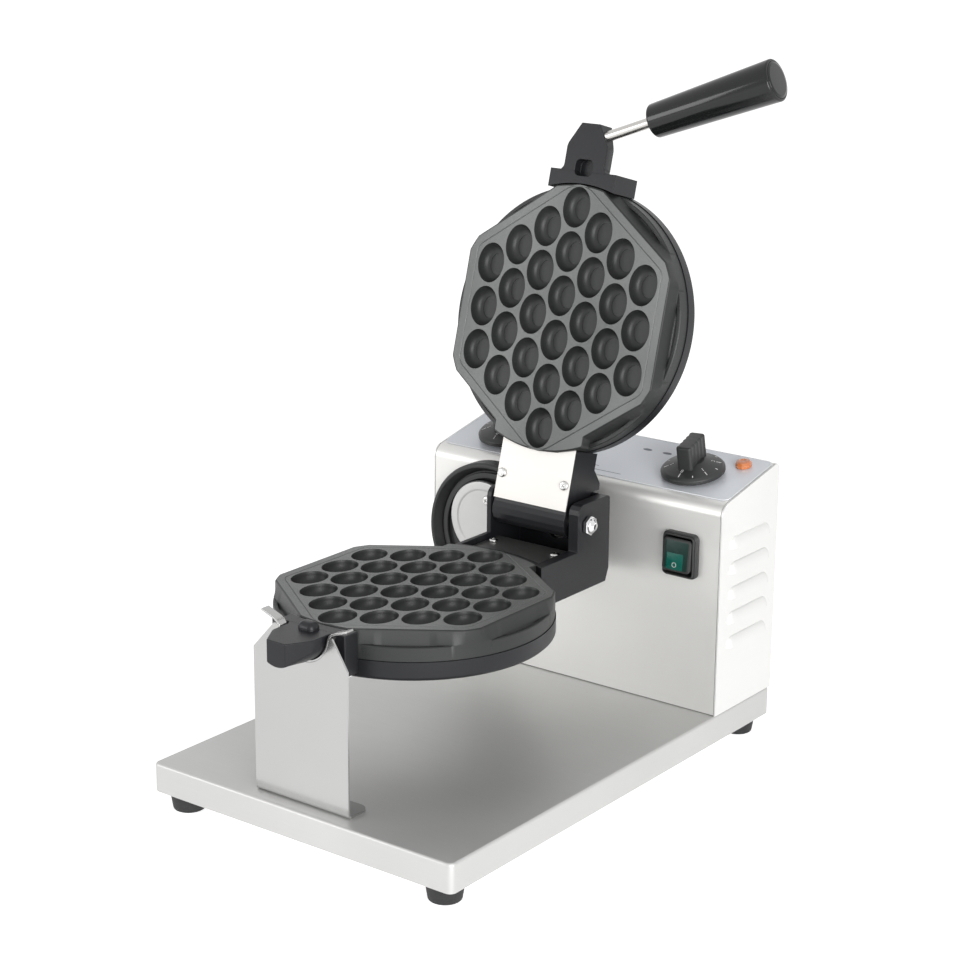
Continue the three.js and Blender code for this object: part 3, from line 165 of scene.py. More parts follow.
FINISHES = {
    "tray_steel": ((0.57, 0.57, 0.56), (0.6, 0.6, 0.59), 0.6, (0.42, 0.5), 900, 0.02, ALONG_X),
    "box_steel": ((0.77, 0.765, 0.745), (0.8, 0.795, 0.775), 0.55, (0.38, 0.46), 700, 0.02, ALONG_X),
    "side_steel": ((0.8, 0.8, 0.785), (0.83, 0.83, 0.815), 0.4, (0.38, 0.46), 700, 0.03, ALONG_Y),
    "bright_steel": ((0.46, 0.46, 0.455), (0.475, 0.475, 0.47), 0.9, (0.2, 0.24), 60, 0.0),
    # A darker copy of the steel: painted shade on the stand's foot and the lower cover plate.
    "painted_shade_steel": ((0.22, 0.22, 0.215), (0.24, 0.24, 0.235), 0.8, (0.3, 0.36), 60, 0.01),
    "cover_steel": ((0.82, 0.8, 0.765), (0.84, 0.82, 0.785), 0.35, (0.5, 0.56), 500, 0.01, ALONG_X),
    "rod_steel": ((0.56, 0.545, 0.52), (0.58, 0.565, 0.54), 1.0, (0.24, 0.28), 60, 0.01),
    "chrome": ((0.75, 0.75, 0.76), (0.8, 0.8, 0.8), 1.0, (0.05, 0.1), 300, 0.02),
    "screw_steel": ((0.6, 0.6, 0.59), (0.7, 0.7, 0.69), 1.0, (0.2, 0.3), 600, 0.05),
    "plate_coating": ((0.022, 0.024, 0.023), (0.036, 0.038, 0.037), 0.1,
        (0.34, 0.48), 2400, 0.25, EVEN, 0.2, 0.34),
    # The land's lighter colour is a painted reflection of the bright surroundings.
    "land_painted_reflection": ((0.1, 0.106, 0.103), (0.17, 0.178, 0.174), 0.2, (0.3, 0.5), 1700, 0.6, EVEN, 0.3),
    "black_paint": ((0.012, 0.0125, 0.0145), (0.016, 0.0165, 0.019), 0.05,
        (0.32, 0.42), 1400, 0.15, EVEN, 0.2, 0.3),
    "black_plastic": ((0.02, 0.021, 0.021), (0.03, 0.031, 0.031), 0,
        (0.36, 0.48), 2200, 0.1, EVEN, 0.1, 0.45),
    "gloss_plastic": ((0.006, 0.0065, 0.0065), (0.01, 0.011, 0.011), 0,
        (0.1, 0.16), 500, 0.02, EVEN, 0.1, 0.4),
    "rubber": ((0.016, 0.016, 0.017), (0.03, 0.03, 0.031), 0, (0.6, 0.8), 1200, 0.25, EVEN, 0.2),
    "label_film": ((0.8, 0.83, 0.89), (0.84, 0.87, 0.92), 0.1, (0.3, 0.4), 1500, 0.04),
    # A lighter copy of the label film: painted highlight on the label's raised edge.
    "label_edge_painted_highlight": ((0.84, 0.86, 0.88), (0.88, 0.9, 0.92), 0.1, (0.3, 0.4), 1500, 0.04),
    "ceramic": ((0.72, 0.69, 0.61), (0.8, 0.77, 0.7), 0, (0.55, 0.75), 900, 0.15, EVEN, 0.2),
    "element_steel": ((0.12, 0.1, 0.09), (0.24, 0.21, 0.19), 0.8, (0.4, 0.6), 600, 0.1),
    "white_print": ((0.8, 0.8, 0.79), (0.86, 0.86, 0.85), 0, (0.5, 0.6), 900, 0.02),
    "grey_print": ((0.2, 0.22, 0.26), (0.24, 0.26, 0.3), 0, (0.5, 0.6), 900, 0.02),
    "amber_lens": ((0.5, 0.1, 0.015), (0.92, 0.36, 0.12), 0, (0.06, 0.12), 320, 0.05, EVEN, 0.2, 0.7, 0.6),
    "green_lens": ((0.001, 0.075, 0.056), (0.002, 0.1, 0.076), 0, (0.26, 0.34), 160, 0.05, EVEN, 0.2, 0.25),
    # A darker copy of the green lens: painted shade on the rocker's upper part.
    "painted_shade_lens": ((0.006, 0.022, 0.018), (0.01, 0.034, 0.028), 0, (0.26, 0.34), 160, 0.05, EVEN, 0.2, 0.25),
}
materials = {name: grained(name, *look) for name, look in FINISHES.items()}


# Outlines
def arc(radius, start, end, steps, x=0, y=0):
    angles = [math.radians(start + (end - start) * step / steps) for step in range(steps + 1)]
    return [(x + radius * math.cos(angle), y + radius * math.sin(angle)) for angle in angles]


def rounded(corners, loop=True, steps=6):
    """Corners are (x, y) or (x, y, fillet radius)."""
    points = []
    last = len(corners) - 1
    for index, corner in enumerate(corners):
        place = Vector(corner[:2])
        radius = corner[2] if len(corner) > 2 else 0
        if radius == 0 or (not loop and index in (0, last)):
            points.append(tuple(place))
            continue
        back = (Vector(corners[index - 1][:2]) - place).normalized()
        ahead = (Vector(corners[(index + 1) % len(corners)][:2]) - place).normalized()
        half = math.acos(max(-1, min(1, back.dot(ahead)))) / 2
        centre = place + (back + ahead).normalized() * (radius / math.sin(half))
        start = place + back * (radius / math.tan(half)) - centre
        sweep = (math.pi - 2 * half) * (-1 if back.x * ahead.y - back.y * ahead.x > 0 else 1)
        for step in range(steps + 1):
            swung = Matrix.Rotation(sweep * step / steps, 2) @ start
            points.append(tuple(centre + swung))
    return points


def rectangle(half_x, half_y, corner=0, steps=6):
    signs = ((1, 1), (-1, 1), (-1, -1), (1, -1))
    return rounded([(side_x * half_x, side_y * half_y, corner) for side_x, side_y in signs], steps=steps)


def sized_levels(rows, steps=6):
    """Levels for a stack of rounded rectangles, from rows of (half x, half y, corner, height)."""
    return [(rectangle(half_x, half_y, corner, steps), z) for half_x, half_y, corner, z in rows]


def inset_levels(half_x, half_y, corner, rows, steps=6):
    """Levels for one rounded rectangle that draws in, from rows of (inset, height)."""
    return sized_levels([(half_x - inset, half_y - inset, corner - inset, z) for inset, z in rows], steps)


def sheet_section(path, sheet):
    """A bent sheet's section: its centre line thickened to both sides."""
    points = [Vector(point) for point in path]
    left, right = [], []
    for index, point in enumerate(points):
        into = (point - points[max(index - 1, 0)]).normalized()
        out = (points[min(index + 1, len(points) - 1)] - point).normalized()
        along = (into + out).normalized()
        reach = sheet / 2 / along.dot(out if index == 0 else into)
        normal = Vector((-along.y, along.x)) * reach
        left.append(tuple(point + normal))
        right.insert(0, tuple(point - normal))
    return left + right


# Meshes
class Shape:
    """Points and faces in local millimetres, gathered part by part; each part has its own finish."""

    def __init__(self):
        self.points, self.faces, self.finishes = [], [], []

    def add(self, points, faces, place=STAY, finish=0):
        start = len(self.points)
        self.points += [place @ Vector(point) for point in points]
        for face in faces:
            kept = list(dict.fromkeys(face))
            if len(kept) > 2:
                self.faces.append([start + index for index in kept])
                self.finishes.append(finish)
        return self

    def loft(self, rows, place=STAY, finish=0, caps=True, closed=False):
        count = len(rows[0])
        points = [point for row in rows for point in row]
        levels = range(len(rows) if closed else len(rows) - 1)
        faces = []
        for level in levels:
            low, high = level * count, ((level + 1) % len(rows)) * count
            for i in range(count):
                j = (i + 1) % count
                faces.append([low + i, low + j, high + j, high + i])
        if caps and not closed:
            faces.append(list(range(count))[::-1])
            faces.append([(len(rows) - 1) * count + i for i in range(count)])
        return self.add(points, faces, place, finish)

    def stack(self, levels, place=STAY, finish=0, caps=True, closed=False):
        """Levels are (outline, height), all outlines with the same number of points."""
        rows = [[(x, y, z) for x, y in outline] for outline, z in levels]
        return self.loft(rows, place, finish, caps, closed)

    def prism(self, outline, low, high, place=STAY):
        return self.stack([(outline, low), (outline, high)], place)

    def lathe(self, profile, sides=64, place=STAY, closed=False, steps=4):
        """The profile's corners are (radius, height) or (radius, height, fillet radius)."""
        points, rows = [], []
        for radius, height in rounded(profile, loop=False, steps=steps):
            start = len(points)
            if radius < TINY:
                points.append((0, 0, height))
                rows.append([start] * sides)
                continue
            for side in range(sides):
                angle = FULL_TURN * side / sides
                points.append((radius * math.cos(angle), radius * math.sin(angle), height))
            rows.append([start + side for side in range(sides)])
        pairs = list(zip(rows, rows[1:]))
        if closed:
            pairs.append((rows[-1], rows[0]))
        faces = []
        for low, high in pairs:
            for i in range(sides):
                j = (i + 1) % sides
                faces.append([low[i], low[j], high[j], high[i]])
        return self.add(points, faces, place)

    def mesh(self, name, frame_matrix, finishes, smooth):
        mesh = bpy.data.meshes.new(name)
        mesh.from_pydata([frame_matrix @ point for point in self.points], [], self.faces)
        for finish in finishes:
            mesh.materials.append(materials[finish])
        mesh.polygons.foreach_set("material_index", self.finishes)
        work = bmesh.new()
        work.from_mesh(mesh)
        bmesh.ops.remove_doubles(work, verts=work.verts, dist=TINY)
        bmesh.ops.recalc_face_normals(work, faces=work.faces)
        work.to_mesh(mesh)
        work.free()
        shade(mesh, smooth)
        return mesh


def disc(radius, low, high, sides=48, place=STAY):
    return Shape().lathe([(0, low), (radius, low), (radius, high), (0, high)], sides, place)


def shade(mesh, smooth):
    """Smooth faces, and sharp edges where they meet at more than an angle."""
    mesh.polygons.foreach_set("use_smooth", [True] * len(mesh.polygons))
    mesh.set_sharp_from_angle(angle=math.radians(smooth))


def link(name, data):
    made = bpy.data.objects.new(name, data)
    bpy.context.scene.collection.objects.link(made)
    return made


def soften(made, width, segments=3, angle=35):
    bevel = made.modifiers.new("edges", "BEVEL")
    bevel.width = width * MM
    bevel.segments = segments
    bevel.limit_method = "ANGLE"
    bevel.angle_limit = math.radians(angle)
    bevel.harden_normals = True


def carved(made, meshes, smooth):
    """The mesh of an object less the meshes of its cutters."""
    tools = [link("cutter", mesh) for mesh in meshes]
    for tool in tools:
        cut = made.modifiers.new("cut", "BOOLEAN")
        cut.operation = "DIFFERENCE"
        cut.solver = "EXACT"
        cut.object = tool
    graph = bpy.context.evaluated_depsgraph_get()
    mesh = bpy.data.meshes.new_from_object(made.evaluated_get(graph))
    made.modifiers.clear()
    for tool in tools:
        used = tool.data
        bpy.data.objects.remove(tool)
        bpy.data.meshes.remove(used)
    shade(mesh, smooth)
    return mesh


def piece(name, shape, place, body, slot, replaced=(), finishes=(), edge=0, smooth=35, cutters=()):
    """Puts a shape in the scene as one piece of a body, standing for the CAD nodes that it replaces.

    Its finish is the one that its slot is named after, unless others are given.
    """
    finishes = finishes or [slot]
    made = link(name, shape.mesh(name, place, finishes, smooth))
    if cutters:
        tools = [cutter.mesh("cutter", place, finishes, smooth) for cutter in cutters]
        made.data = carved(made, tools, smooth)
    if edge:
        soften(made, edge)
    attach(made, body)
    if replaced:
        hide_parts(*replaced)


# Cooking plates: the face lies at zero and looks along +Z, and the hinge side is +Y
AROUND = 720
DISC_RADIUS, DISC_EDGE, PLATE_DEPTH = 99.3, 0.6, 20
TROUGH_OUTER, TROUGH_DEPTH = 95.3, 12
LIP_INNER, LIP_DEPTH = 96.3, 10

# The raised land is a hexagon of (half width, apex, corner, apex corner) with a bridge to the hinge side
LAND, END_SLOPE, APEX_GAIN = (90.5, 112, 14, 0), 0.71, 1.226
BRIDGE_HALF, BRIDGE_START = 40, 74
LAND_ROUND, FACE_INSET, LAND_FLARE = 1.2, 1.4, 2.6
FLARE_SHARE, FLARE_FALL = 0.86, 0.88
FILLET_START, FILLET_FALL, FILLET_END = 0.3, 0.97, 1.2

# A crest stands in the trough where there is room; its section is (reach, share of its height)
CREST_HEIGHT, CREST_ROOM, CREST_FADE = 3.2, 7, 4
CREST_SECTION = ((4.2, 0), (5, 0.85), (5.5, 1), (6, 0.85), (6.8, 0))

# A fine groove runs round the bubbles
GROOVE, GROOVE_HALF, GROOVE_DEPTH = (83, 103.4, 9, 21), 0.45, 0.5

# Bubbles: a broken rim, a round side and a flat floor, in shares of their half lengths
COLUMN_COUNTS = (3, 4, 5, 6, 5, 4, 3)
COLUMN_SPACING, BUBBLE_PITCH = 22.9, 33
BUBBLE_X, BUBBLE_Y, BUBBLE_DEPTH = 12, 15.2, 9.2
BUBBLE_BREAK, BUBBLE_STEP = 0.35, 0.4
RIM_SHARE, SIDE_SHARE, SIDE_END_SHARE, FLOOR_SHARE = 0.985, 0.425, 0.56, 0.55
BUBBLE_SIDES, HOLE_SHARE, SAME_PLACE = 48, 0.995, 1e-4
BUBBLE_PLACES = [
    ((column - len(COLUMN_COUNTS) // 2) * COLUMN_SPACING, (row - (count - 1) / 2) * BUBBLE_PITCH)
    for column, count in enumerate(COLUMN_COUNTS) for row in range(count)
]


def hexagon(side, apex, corner, apex_corner, margin):
    """A long hexagon with its apexes on Y, grown by a margin."""
    side += margin
    apex += APEX_GAIN * margin
    shoulder = apex - END_SLOPE * side
    return rounded([
        (side, -shoulder, corner), (side, shoulder, corner), (0, apex, apex_corner),
        (-side, shoulder, corner), (-side, -shoulder, corner), (0, -apex, apex_corner),
    ], steps=10)


def polar(outline):
    """Radius of an outline round its middle, at even angles."""
    angles = [math.atan2(y, x) % FULL_TURN for x, y in outline]
    first = angles.index(min(angles))
    loop = outline[first:] + outline[:first]
    angles = angles[first:] + angles[:first]
    radii = []
    index = 0
    for step in range(AROUND):
        angle = FULL_TURN * step / AROUND
        while index < len(loop) and angles[index] <= angle:
            index += 1
        a, b = Vector(loop[index - 1]), Vector(loop[index % len(loop)])
        ray = Vector((math.cos(angle), math.sin(angle)))
        edge = b - a
        radii.append((a.x * edge.y - a.y * edge.x) / (ray.x * edge.y - ray.y * edge.x))
    return radii


def ring(radii, height):
    heights = height if isinstance(height, list) else [height] * AROUND
    angles = [FULL_TURN * step / AROUND for step in range(AROUND)]
    return [
        (radius * math.cos(angle), radius * math.sin(angle), z)
        for radius, angle, z in zip(radii, angles, heights)
    ]


def land_radii(margin):
    """The land's edge, grown by a margin and kept inside the disc."""
    radii = polar(hexagon(*LAND, margin))
    for step, radius in enumerate(radii):
        angle = FULL_TURN * step / AROUND
        across, along = max(abs(math.cos(angle)), TINY), math.sin(angle)
        if along > 0 and along * BRIDGE_HALF / across > BRIDGE_START:
            radius = max(radius, BRIDGE_HALF / across)
        radii[step] = min(radius, DISC_RADIUS)
    return radii


def rim_rows():
    """Rings from the land's edge down its side, over the trough and the lip, and round to the back."""
    edge, foot = land_radii(0), land_radii(LAND_FLARE)
    outer = [max(radius, TROUGH_OUTER) for radius in foot]
    lip = [max(radius, LIP_INNER) for radius in foot]
    rise = TROUGH_DEPTH - LIP_DEPTH
    low = [-TROUGH_DEPTH + rise * max(0, min(1, radius - TROUGH_OUTER)) for radius in foot]
    rows = [ring([radius - inset for radius in edge], 0) for inset in (FACE_INSET, LAND_ROUND)]
    for turn in (30, 60, 90):
        inset = LAND_ROUND * (1 - sine(turn))
        fall = LAND_ROUND * (1 - cosine(turn))
        rows.append(ring([radius - inset for radius in edge], -fall))
    rows.append(ring([e + (f - e) * FLARE_SHARE for e, f in zip(edge, foot)], [z * FLARE_FALL for z in low]))
    rows.append(ring([min(f + FILLET_START, DISC_RADIUS) for f in foot], [z * FILLET_FALL for z in low]))
    rows.append(ring([min(f + FILLET_END, o) for f, o in zip(foot, outer)], low))
    crest = [CREST_HEIGHT * max(0, min(1, (o - f - CREST_ROOM) / CREST_FADE)) for f, o in zip(foot, outer)]
    for reach, share in CREST_SECTION:
        heights = [z + c * share for z, c in zip(low, crest)]
        rows.append(ring([min(f + reach, o) for f, o in zip(foot, outer)], heights))
    rows.append(ring(outer, low))
    rows.append(ring(lip, [max(z, -LIP_DEPTH) for z in low]))
    rows.append(ring([max(radius, DISC_RADIUS - DISC_EDGE) for radius in lip], -LIP_DEPTH))
    rows.append(ring([DISC_RADIUS] * AROUND, -LIP_DEPTH - DISC_EDGE))
    rows.append(ring([DISC_RADIUS] * AROUND, -PLATE_DEPTH))
    return rows


def face_mesh(limit):
    """The flat face inside the groove, with a hole for each bubble, as points and triangles."""
    points = [(x, y) for x, y, _ in ring(limit, 0)]
    loops = [list(range(AROUND))]
    angles = [FULL_TURN * side / BUBBLE_SIDES for side in range(BUBBLE_SIDES)]
    for x, y in BUBBLE_PLACES:
        start = len(points)
        points += [(x + BUBBLE_X * math.cos(t), y + BUBBLE_Y * math.sin(t)) for t in angles]
        loops.append([start + side for side in range(BUBBLE_SIDES)])
    edges = [(loop[i - 1], loop[i]) for loop in loops for i in range(len(loop))]
    flat, _, triangles, *_ = delaunay_2d_cdt([Vector(point) for point in points], edges, [], 0, SAME_PLACE)
    faces = []
    for triangle in triangles:
        x = sum(flat[i].x for i in triangle) / 3
        y = sum(flat[i].y for i in triangle) / 3
        step = int((math.atan2(y, x) % FULL_TURN) / FULL_TURN * AROUND) % AROUND
        if math.hypot(x, y) > limit[step]:
            continue
        if any(((x - u) / BUBBLE_X) ** 2 + ((y - v) / BUBBLE_Y) ** 2 < HOLE_SHARE for u, v in BUBBLE_PLACES):
            continue
        faces.append(list(triangle))
    return [(point.x, point.y, 0) for point in flat], faces


def bubble_levels():
    levels = [(1, 0), (RIM_SHARE, -BUBBLE_BREAK)]
    fall = BUBBLE_DEPTH - BUBBLE_BREAK - BUBBLE_STEP
    for turn in range(12, 91, 13):
        levels.append((SIDE_END_SHARE + SIDE_SHARE * cosine(turn), -BUBBLE_BREAK - fall * sine(turn)))
    return levels + [(FLOOR_SHARE, -BUBBLE_DEPTH), (0, -BUBBLE_DEPTH)]


def cooking_plate():
    """Finish 0 is the dark coating, finish 1 the land, painted lighter as a painted reflection."""
    shape = Shape()
    rows = rim_rows()
    shape.loft(rows[1:], caps=False)
    shape.add(rows[-1], [list(range(AROUND))[::-1]])
    groove = [polar(hexagon(*GROOVE, margin)) for margin in (GROOVE_HALF, 0, -GROOVE_HALF)]
    lines = [ring(groove[0], 0), ring(groove[1], -GROOVE_DEPTH), ring(groove[2], 0)]
    shape.loft([rows[1], rows[0], *lines], finish=1, caps=False)
    shape.add(*face_mesh(groove[2]), finish=1)
    bowl = bubble_levels()
    for x, y in BUBBLE_PLACES:
        shape.lathe(bowl, BUBBLE_SIDES, moved(x, y, 0) @ Matrix.Diagonal((BUBBLE_X, BUBBLE_Y, 1, 1)))
    return shape


# Back shells: a flat middle, a deeper channel round it and an upright wall
SHELL_RADIUS, SHELL_RIM, SHELL_FILLET = 100, -20.3, 1.5
MIDDLE_RADIUS, MIDDLE_HEIGHT = 88.5, -26
CHANNEL_INNER, CHANNEL_OUTER, CHANNEL_CHAMFER, CHANNEL_INSIDE = 91, 97.5, 2.5, 96.8
SHELL_DEPTHS = {"lower": 34, "upper": 31.6}


def back_shell(deep):
    inside, chamfer = SHELL_RADIUS - THICK_SHEET, CHANNEL_CHAMFER - deep
    bends = [(MIDDLE_RADIUS, MIDDLE_HEIGHT), (CHANNEL_INNER, -deep), (CHANNEL_OUTER, -deep)]
    bends.append((SHELL_RADIUS, chamfer))
    outer = [(0, MIDDLE_HEIGHT), *[(*bend, SHELL_FILLET) for bend in bends], (SHELL_RADIUS, SHELL_RIM)]
    inner = [
        (inside, SHELL_RIM), (inside, chamfer), (CHANNEL_INSIDE, THICK_SHEET - deep),
        (CHANNEL_INNER + THICK_SHEET, THICK_SHEET - deep),
        (MIDDLE_RADIUS + THICK_SHEET, MIDDLE_HEIGHT + THICK_SHEET), (0, MIDDLE_HEIGHT + THICK_SHEET),
    ]
    return Shape().lathe(outer + inner, 160)


for half, place, body in HALVES:
    piece(f"{half}_plate", cooking_plate(), place, body, "coated_aluminium",
          [f"{half}_cooking_plate"], finishes=["plate_coating", "land_painted_reflection"], smooth=40)
    piece(f"{half}_shell", back_shell(SHELL_DEPTHS[half]), place, body, "black_paint",
          [f"{half}_back_shell"])


# End blocks: a rounded neck with a chamfered tip, and a flange against the shell
BLOCK_TOP, BLOCK_DEPTH, BLOCK_EDGE = -0.4, 30, 0.9
BLOCK_TIP, BLOCK_SHOULDER, FLANGE_FRONT = 144.8, 128.4, 109.4
TIP_HALF, NECK_HALF, FLANGE_HALF = 8.2, 18, 29.3
TIP_RADIUS, NECK_RADIUS, NECK_WALL = 18.4, 20, 0.4
NECK_FLARE, NECK_STEPS, OVERRUN = 4, 8, 1
SHELL_CLEARANCE = 0.1


def block_neck():
    """Sections along Y with a flat top, upright sides and a round underside."""
    stations = [
        (-BLOCK_TIP, TIP_HALF, TIP_RADIUS),
        (-BLOCK_SHOULDER - 1.2, NECK_HALF - 0.8, NECK_RADIUS - NECK_WALL),
        (-BLOCK_SHOULDER + 1.5, NECK_HALF, NECK_RADIUS),
    ]
    for turn in (0, 22.5, 45, 60):
        along = NECK_FLARE * sine(turn) - FLANGE_FRONT - NECK_FLARE
        half = NECK_HALF + NECK_FLARE - NECK_FLARE * cosine(turn)
        stations.append((along, half, NECK_RADIUS))
    stations.append((OVERRUN - FLANGE_FRONT, NECK_HALF + NECK_FLARE / 2, NECK_RADIUS))
    rows = []
    for y, half, radius in stations:
        low = math.asin(min(half, radius - NECK_WALL) / radius)
        turns = [low * (1 - step / NECK_STEPS) for step in range(1, 2 * NECK_STEPS)]
        foot = -radius * math.cos(low)
        under = [(radius * math.sin(turn), y, -radius * math.cos(turn)) for turn in turns]
        rows.append([(half, y, BLOCK_TOP), (half, y, foot), *under, (-half, y, foot), (-half, y, BLOCK_TOP)])
    return Shape().loft(rows)


def block_flange():
    radius = SHELL_RADIUS + SHELL_CLEARANCE
    turn = math.degrees(math.asin(FLANGE_HALF / radius))
    front = [(-FLANGE_HALF, -FLANGE_FRONT), (FLANGE_HALF, -FLANGE_FRONT)]
    return Shape().prism(front + arc(radius, turn - 90, -90 - turn, 24), -BLOCK_DEPTH, BLOCK_TOP)


# Latch: a boss on the lower block and a slot in the upper one
LATCH_REACH = 111.9
BOSS = (7, 5.5, 4.4)
BOSS_RISE = ((0, -3), (0, 0.8), (0.25, 1.8), (0.8, 3), (1.6, 4), (2.6, 4.7), (3.8, 5))
SLOT = (7.7, 6.1, 4)
latch_at = moved(0, -LATCH_REACH, 0)
latch_slot = Shape().prism(rectangle(*SLOT, 8), -8, 2, latch_at)
latch_boss = Shape().stack(inset_levels(*BOSS, BOSS_RISE, 8), latch_at)
for half, place, body in HALVES:
    cutters = [latch_slot] if half == "upper" else []
    piece(f"{half}_neck", block_neck(), place, body, "black_paint", [f"{half}_front_block"],
          edge=BLOCK_EDGE, cutters=cutters)
    piece(f"{half}_flange", block_flange(), place, body, "black_paint",
          edge=BLOCK_EDGE, cutters=cutters)
piece("latch_boss", latch_boss, LOWER @ moved(0, 0, -FACE_GAP), "head", "black_paint")


# Handle, along its own axis: a rod, a tapered grip and the cap in its end
HANDLE_DEGREES = 68.5
HANDLE_START = (13.1, -136.6, 5)
ROD_RADIUS, ROD_START, ROD_END = 4, -12, 69
GRIP_START, GRIP_LENGTH = 40.6, 101.8
GRIP_NEAR, GRIP_FAR, GRIP_BORE = 12.7, 15.6, 4.3
SEAT_RADIUS, SEAT_DEPTH = 13.7, 1.8
GRIP_CAP = ((0, -1.5, 0), (13.4, -1.5, 0), (13.4, 0.3, 0.5), (11.6, 0.9, 0.8), (0, 0.9, 0))
handle = UPPER @ moved(*HANDLE_START) @ moved(0, 0, FACE_GAP) @ turned(HANDLE_DEGREES - 180, "Z") @ TO_Y
rod = Shape().lathe([(0, ROD_START), (ROD_RADIUS, ROD_START, 0.4), (ROD_RADIUS, ROD_END), (0, ROD_END)], 40)
piece("rod", rod, handle, "lid", "chrome", ["handle_rod"], finishes=["rod_steel"])
end = GRIP_START + GRIP_LENGTH
grip = Shape().lathe([
    (GRIP_BORE, GRIP_START), (GRIP_NEAR, GRIP_START, 2.2), (GRIP_FAR, end, 1.4), (SEAT_RADIUS, end),
    (SEAT_RADIUS, end - SEAT_DEPTH), (GRIP_BORE, end - SEAT_DEPTH),
], 96, closed=True, steps=6)
piece("grip", grip, handle, "lid", "grip_plastic", ["handle_grip"], finishes=["gloss_plastic"])
cap = Shape().lathe([(radius, end + above, round_off) for radius, above, round_off in GRIP_CAP], 96)
piece("grip_cap", cap, handle, "lid", "grip_plastic", ["handle_end_cap"], finishes=["gloss_plastic"])


# Feet
FOOT_X, FOOT_Y = 116, 183.5
FOOT_PROFILE = ((0, -11), (3.6, -11, 0.4), (3.6, -14, 0.4), (11.5, -14, 1.6), (14, 1.2, 0.6), (0, 1.2))
for across, x in (("left", -FOOT_X), ("right", FOOT_X)):
    for along, y in (("front", -FOOT_Y), ("back", FOOT_Y)):
        foot = Shape().lathe(FOOT_PROFILE)
        piece(f"{along}_{across}_foot", foot, WORLD @ moved(x, y, 0), "base", "rubber",
              [f"foot_{along}_{across}"])


# Tray: an outer and an inner skin with rounded edges, and a ledge inside for the bottom plate
TRAY_CORNER, TRAY_BEND = 5, 2
LEDGE_X, LEDGE_Y, LEDGE_TOP = 90, 189.9, 2.4
LEDGE_OVERLAP = 0.05


def tray_levels(inset):
    """Levels of the tray's outer skin, or of its inner one where there is an inset."""
    bend, top = TRAY_BEND - inset, TRAY_TOP - inset
    rows = [(0, 0)]
    rows += [(bend * (1 - cosine(turn)), top - bend + bend * sine(turn)) for turn in range(0, 91, 15)]
    return inset_levels(TRAY_HALF_X - inset, TRAY_HALF_Y - inset, TRAY_CORNER - inset, rows)


tray = Shape()
outer, inner = tray_levels(0), tray_levels(SHEET)
tray.stack(outer, caps=False)
tray.stack(inner, caps=False)
for levels, order in ((outer, 1), (inner, -1)):
    outline, top = levels[-1]
    tray.add([(x, y, top) for x, y in outline], [list(range(len(outline)))[::order]])
tray.stack([(outer[0][0], 0), (inner[0][0], 0)], caps=False)
ledge_x, ledge_y = (half - SHEET + LEDGE_OVERLAP for half in (TRAY_HALF_X, TRAY_HALF_Y))
tray.stack(sized_levels([
    (ledge_x, ledge_y, TRAY_CORNER - SHEET, LEDGE_TOP), (LEDGE_X, LEDGE_Y, 0.5, LEDGE_TOP),
    (LEDGE_X, LEDGE_Y, 0.5, LEDGE_TOP - SHEET),
    (ledge_x, ledge_y, TRAY_CORNER - SHEET, LEDGE_TOP - SHEET),
]), closed=True)
piece("tray", tray, WORLD, "base", "brushed_steel", ["base_tray"], finishes=["tray_steel"])


# Control box: the wrap is a bent sheet, the sides are louvred sheets
WRAP_HALF, WRAP_GAP = 132.5, 0.5
KNOB_X, KNOB_ALONG, KNOB_HOLE = 86, 37, 5
LAMP_X, LAMP_ALONG, LAMP_HOLE = 114, 63.5, 5.2
SWITCH_X, SWITCH_Z, SWITCH_HOLE = 99.5, 142.9, (13.9, 15.9)
PORT_X, PORT_Y, PORT_Z = -70.5, BOX_FRONT - 12.5, 126.0
COVER_X, COVER_Z, COVER_HOLE = -77.9, 136.2, 12
GLAND_X, GLAND_Z, GLAND_HOLE = -96, 47.4, 8.3
SHAFT_HOLE = 18.3


def control_holes(low, high, into=STAY):
    """Cutters through the sloped top for the dials' shafts and the lamp."""
    places = [(side * KNOB_X, KNOB_ALONG, KNOB_HOLE) for side in (-1, 1)] + [(LAMP_X, LAMP_ALONG, LAMP_HOLE)]
    return [disc(radius, low, high, 32, into @ moved(x, y, 0)) for x, y, radius in places]


def box_path(inset, foot, front_drop, back_drop):
    """The box's front, slope and back in Y and Z, set in from the outside."""
    return rounded([
        (BOX_FRONT + inset, foot), (BOX_FRONT + inset, BOX_FRONT_TOP - front_drop, FRONT_BEND - inset),
        (BOX_BACK - inset, BOX_BACK_TOP - back_drop, BACK_BEND - inset), (BOX_BACK - inset, foot),
    ], loop=False, steps=12)


wrap_path = box_path(SHEET / 2, TRAY_TOP + WRAP_GAP, 0.48, 0.74)
wrap = Shape().prism(sheet_section(wrap_path, SHEET), -WRAP_HALF, WRAP_HALF, SIDEWAYS)
holes = control_holes(-8, 4, WORLD.inverted() @ SLOPE)
holes.append(disc(SHAFT_HOLE, -2, 3, 48, moved(0, BOX_FRONT, PARTING_Z) @ TO_Y))
holes.append(disc(COVER_HOLE, -2, 3, 48, moved(COVER_X, BOX_FRONT, COVER_Z) @ TO_Y))
holes.append(disc(GLAND_HOLE, -3, 2, 48, moved(GLAND_X, BOX_BACK, GLAND_Z) @ TO_Y))
holes.append(Shape().prism(rectangle(*SWITCH_HOLE), -3, 2, moved(SWITCH_X, BOX_FRONT, SWITCH_Z) @ OUTWARD))
piece("wrap", wrap, WORLD, "base", "polished_steel", ["housing_wrap"], finishes=["box_steel"], smooth=30,
      cutters=holes)
